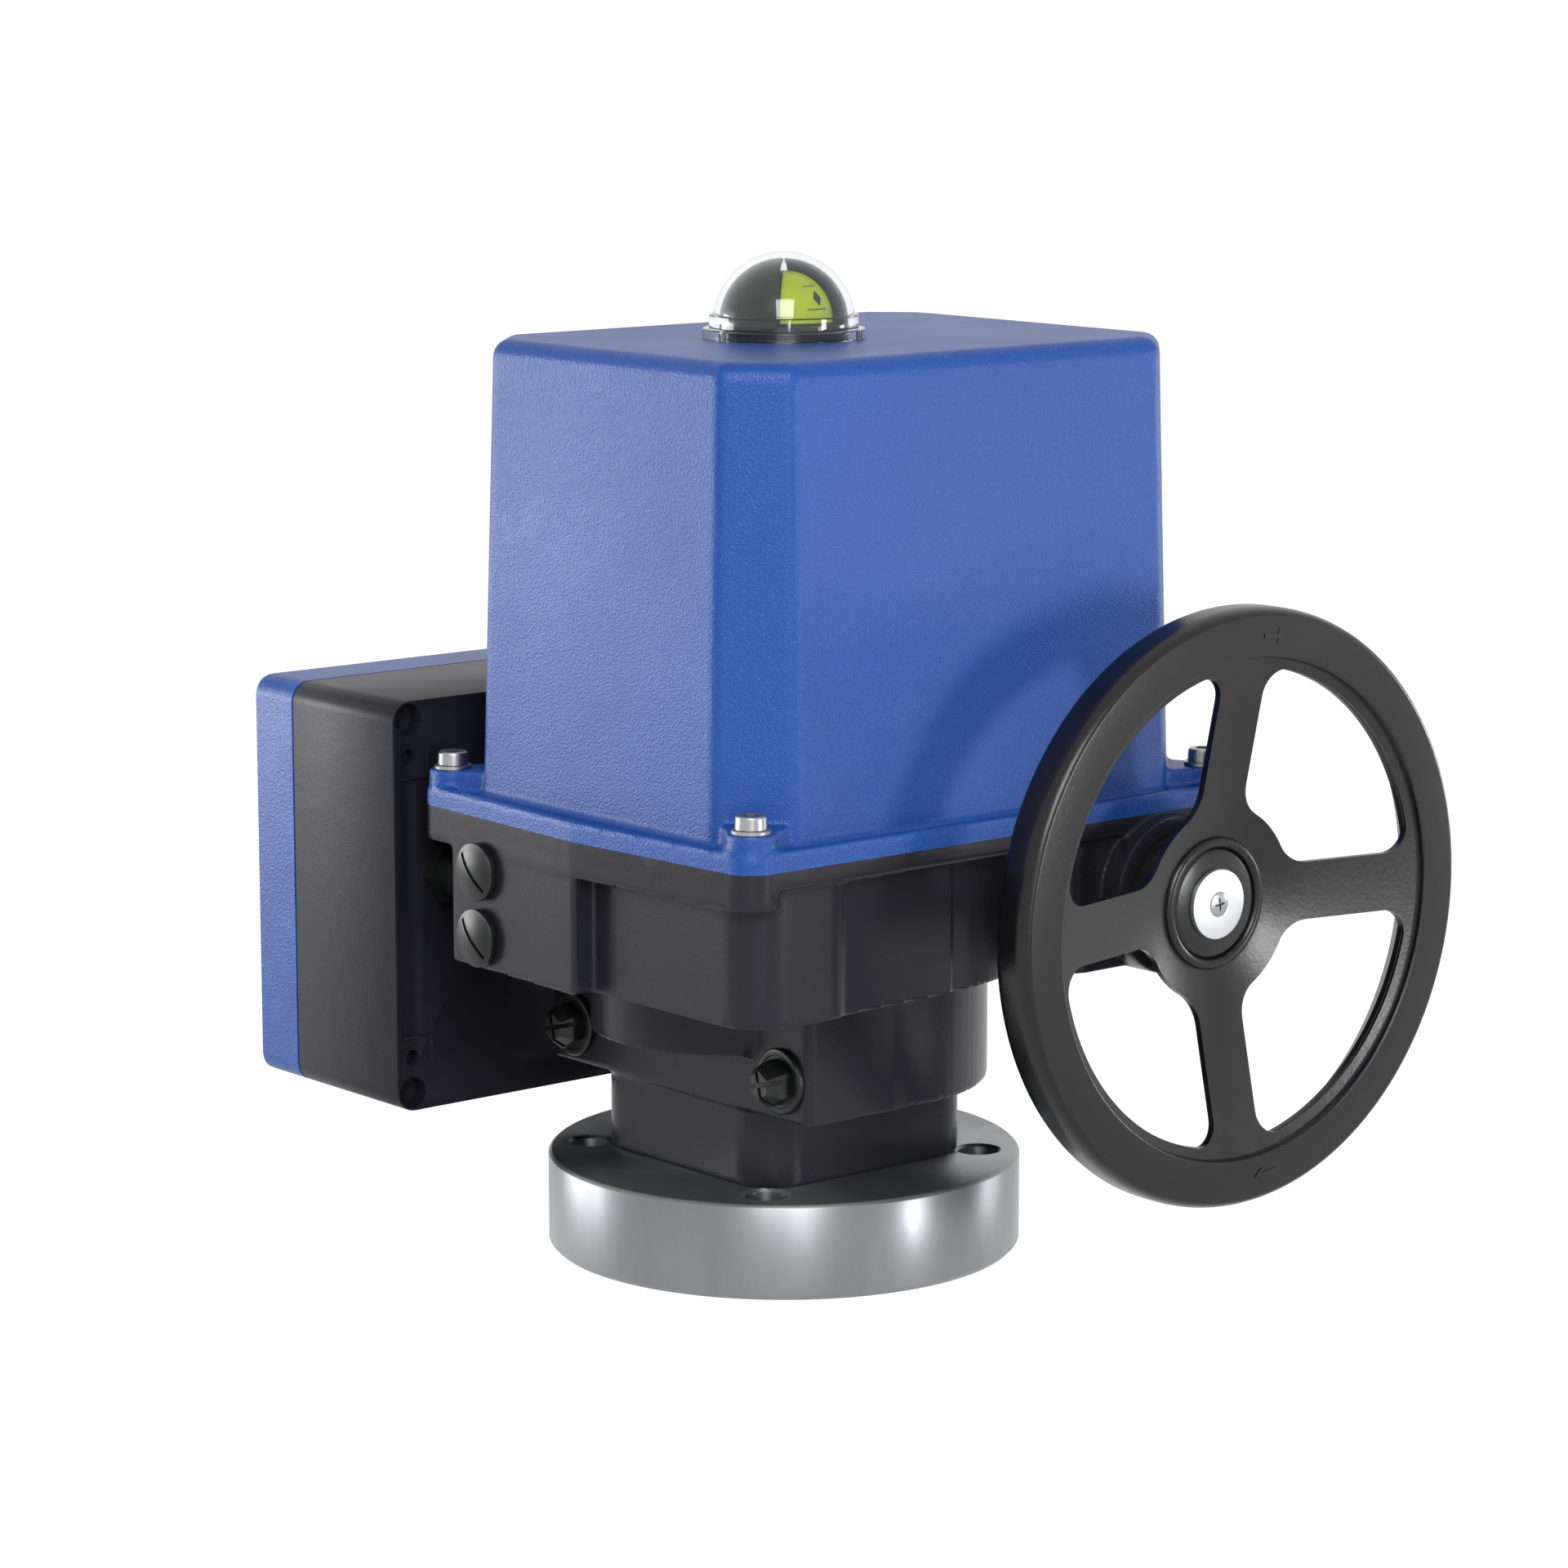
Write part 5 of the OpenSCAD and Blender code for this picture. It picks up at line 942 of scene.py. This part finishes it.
# An L-shaped rib between a small hole and the middle of the box
def cornerRib(x, z, s, v):
    y, t = enclosure["y"][0], enclosure["ribWidth"] / 2
    front = y - enclosure["ribHeight"]
    across, along = z - v * 9.2, x + 9.5 * s
    xs, zs = sorted((x - 4.5 * s, x + 10 * s)), sorted((z - v * 9.7, z + v * 2.8))
    return join(block(*xs, front, y + 1, across - t, across + t),
                block(along - t, along + t, front, y + 1, *zs))


def makeEnclosureBase():
    e = enclosure
    (x0, x1), (z0, z1), (y0, y1), w, c = e["x"], e["z"], e["y"], e["wall"], e["corner"]
    xs = (x0 + c, x1 - c)
    corners, small = crossings(xs, (z0 + c, z1 - c)), crossings(xs, e["smallZ"])
    base = toObject(block(x0, x1, y0, y1, z0, z1, e["edge"], axis=1, segments=8), "enclosureBase")
    combine(base, [block(x0 + w, x1 - w, y0 + w, y1 + 5, z0 + w, z1 - w, e["edge"] - w, axis=1)])
    combine(base, [rods(corners, e["pillar"], -y1, -y0 - 1, "-Y", 40)], "UNION")
    combine(base, [rods(small, e["smallBoss"], -y0 - e["smallDepth"] - w, -y0 - 1, "-Y", 32)], "UNION")
    holes = [rods(corners, e["cornerHole"], -y0 - e["cornerDepth"], -y0 + 2, "-Y", 48),
             rods(small, e["smallHole"], -y0 - e["smallDepth"], -y0 + 2, "-Y", 32),
             rods(crossings(e["mountX"], e["mountZ"]), e["mountHole"], -y0 - w - 1, -y0 + 1, "-Y", 32),
             rod(e["nippleHole"], -y0 - w - 1, -y0 + 1, "-Y", (place["nippleX"], 0, place["wormZ"]), 40)]
    combine(base, [merged(holes), rods(corners, e["screwHole"], -y1 - 1, -y1 + e["screwDepth"], "-Y", 24)])
    softened(base, e["baseEdge"], 2, 50)
    ribs = [cornerRib(x, z, s, v) for s, x in zip((1, -1), xs) for v, z in zip((-1, 1), e["smallZ"])]
    ribObject = softened(toObject(merged(ribs), "ribs"), e["ribEdge"], 2, 50)
    whole = newBm()
    whole.from_mesh(base.data)
    whole.from_mesh(ribObject.data)
    bpy.data.objects.remove(ribObject)
    whole.to_mesh(base.data)
    whole.free()
    finishPiece(base, "boxGrey", "housing", ["enclosure_base"])


def makeEnclosureLid():
    e = enclosure
    (x0, x1), (z0, z1), (l0, l1), w, c = e["x"], e["z"], e["lidY"], e["wall"], e["corner"]
    corners = crossings((x0 + c, x1 - c), (z0 + c, z1 - c))
    body = block(x0, x1, l0, l1, z0, z1, e["edge"], axis=1, segments=8)
    bevel(body, [k for k in body.edges if min(v.co.y for v in k.verts) > l1 - 0.01], e["lidEdge"], 4)
    lid = toObject(body, "enclosureLid")
    combine(lid, [block(x0 + w, x1 - w, l0 - 2, l1 - w, z0 + w, z1 - w, e["edge"] - w, axis=1)])
    combine(lid, [rods(corners, e["pillar"], -l1 + 1.5, -l0, "-Y", 40)], "UNION")
    for p in corners:
        combine(lid, [join(rod(e["counterbore"], -l1 - 2, -l1 + e["boreDepth"], "-Y", p, 40),
                           rod(e["screwHole"], -l1 + e["boreDepth"] - 1, -l0 + 2, "-Y", p, 24))])
    finishPiece(lid, "bluePaint", "housing", ["enclosure_lid"])


makeEnclosureBase()
makeEnclosureLid()

# Carried-over nodes
finishes = {
    "machined_steel": "steel", "stainless": "stainless", "casting": "casting", "rubber": "rubber",
    "black_plastic": "blackPlastic", "bronze": "bronze", "handwheel_black": "wheelBlack",
    "bright_aluminium": "aluminium", "gold_aluminium": "gold", "motor_grey": "motorGrey",
    "white_plastic": "whitePlastic", "blue_paint": "bluePaint", "clear_dome": "clear", "lime_plastic": "lime",
    "board_green": "boardGreen",
}
# stainless parts painted black as painted shade, where they sit in the shaded gap behind the conduit pad
shadeBlackenedHardware = ("cable_nipple", "enclosure_mounts")
for part in frame["record"]["subparts"]:
    finish = "blackPlastic" if part["node"] in shadeBlackenedHardware else finishes[part["material_slot"]]
    for holder in nodes[part["node"]].material_slots:
        holder.material = materials[finish]
print("carried-over nodes finished")

# Camera, lamps and floor, in metres, degrees and watts
studio = {"cameraAt": (-1.2726, -1.5183, 0.5433), "tilt": 80.05, "swing": -39.97, "lens": 110.06,
          "sensor": 36, "lampTarget": (0.02, 0, 0.2), "worldStrength": 0.24, "floorZ": -0.0005,
          "floorSize": 6.0, "floorGlow": 1.22, "glowShare": 0.8}
cameraData = bpy.data.cameras.new("camera")
cameraData.lens = studio["lens"]
cameraData.sensor_width = studio["sensor"]
camera = bpy.data.objects.new("camera", cameraData)
camera.location = studio["cameraAt"]
camera.rotation_euler = (math.radians(studio["tilt"]), 0, math.radians(studio["swing"]))
bpy.context.scene.collection.objects.link(camera)
bpy.context.scene.camera = camera


def lamp(name, direction, distance, width, height, watts):
    data = bpy.data.lights.new(name, "AREA")
    data.shape = "RECTANGLE"
    data.size = width
    data.size_y = height
    data.energy = watts
    obj = bpy.data.objects.new(name, data)
    way = Vector(direction).normalized()
    obj.location = Vector(studio["lampTarget"]) + way * distance
    obj.rotation_mode = "QUATERNION"
    obj.rotation_quaternion = (-way).to_track_quat("-Z", "Y")
    bpy.context.scene.collection.objects.link(obj)


lamp("mainLamp", (-0.60, -0.76, 0.62), 2.5, 1.2, 1.2, 47)
lamp("keyLamp", (0.39, -0.92, 0.0), 2.2, 0.34, 0.38, 11.5)
lamp("stripLamp", (-0.53, -0.85, 0.06), 2.0, 0.12, 0.6, 2.5)
lamp("behindLeftLamp", (-0.53, 0.84, 0.03), 2.4, 1.3, 0.55, 28)
lamp("rightLamp", (0.93, -0.3, 0.0), 2.2, 0.4, 0.36, 9)


# 1 for the camera's own rays and for those that go on through clear plastic or off a glossy face
def seenFactor(tree):
    path = tree.nodes.new("ShaderNodeLightPath")
    seen = maths(tree, "MAXIMUM", path.outputs["Is Camera Ray"], path.outputs["Is Transmission Ray"])
    return maths(tree, "MAXIMUM", seen, path.outputs["Is Glossy Ray"])


def mixShaders(tree, factor, first, second, sink):
    choose = tree.nodes.new("ShaderNodeMixShader")
    tree.links.new(factor, choose.inputs[0])
    tree.links.new(first.outputs[0], choose.inputs[1])
    tree.links.new(second.outputs[0], choose.inputs[2])
    tree.links.new(choose.outputs[0], sink.inputs[0])


world = bpy.data.worlds.new("studio")
bpy.context.scene.world = world
world.use_nodes = True
tree = world.node_tree
back = tree.nodes["Background"]
white = tree.nodes.new("ShaderNodeBackground")
for node, strength in ((back, studio["worldStrength"]), (white, 1.0)):
    node.inputs["Color"].default_value = (1, 1, 1, 1)
    node.inputs["Strength"].default_value = strength
mixShaders(tree, seenFactor(tree), back, white, tree.nodes["World Output"])

floorBm = newBm()
bmesh.ops.create_grid(floorBm, x_segments=1, y_segments=1, size=studio["floorSize"])
bmesh.ops.translate(floorBm, vec=(0, 0, studio["floorZ"]), verts=floorBm.verts)
floorMesh = bpy.data.meshes.new("floor")
floorBm.to_mesh(floorMesh)
floorBm.free()
floor = bpy.data.objects.new("floor", floorMesh)
bpy.context.scene.collection.objects.link(floor)
floorMaterial, tree, shader = blankMaterial("paleFloor")
shader.inputs["Base Color"].default_value = (0.9, 0.9, 0.9, 1)
shader.inputs["Roughness"].default_value = 0.8
glow = tree.nodes.new("ShaderNodeEmission")
glow.inputs["Strength"].default_value = studio["floorGlow"]
share = maths(tree, "MULTIPLY", seenFactor(tree), studio["glowShare"])
mixShaders(tree, share, shader, glow, tree.nodes["Material Output"])
floorMesh.materials.append(floorMaterial)

bpy.context.scene.view_settings.view_transform = "Standard"
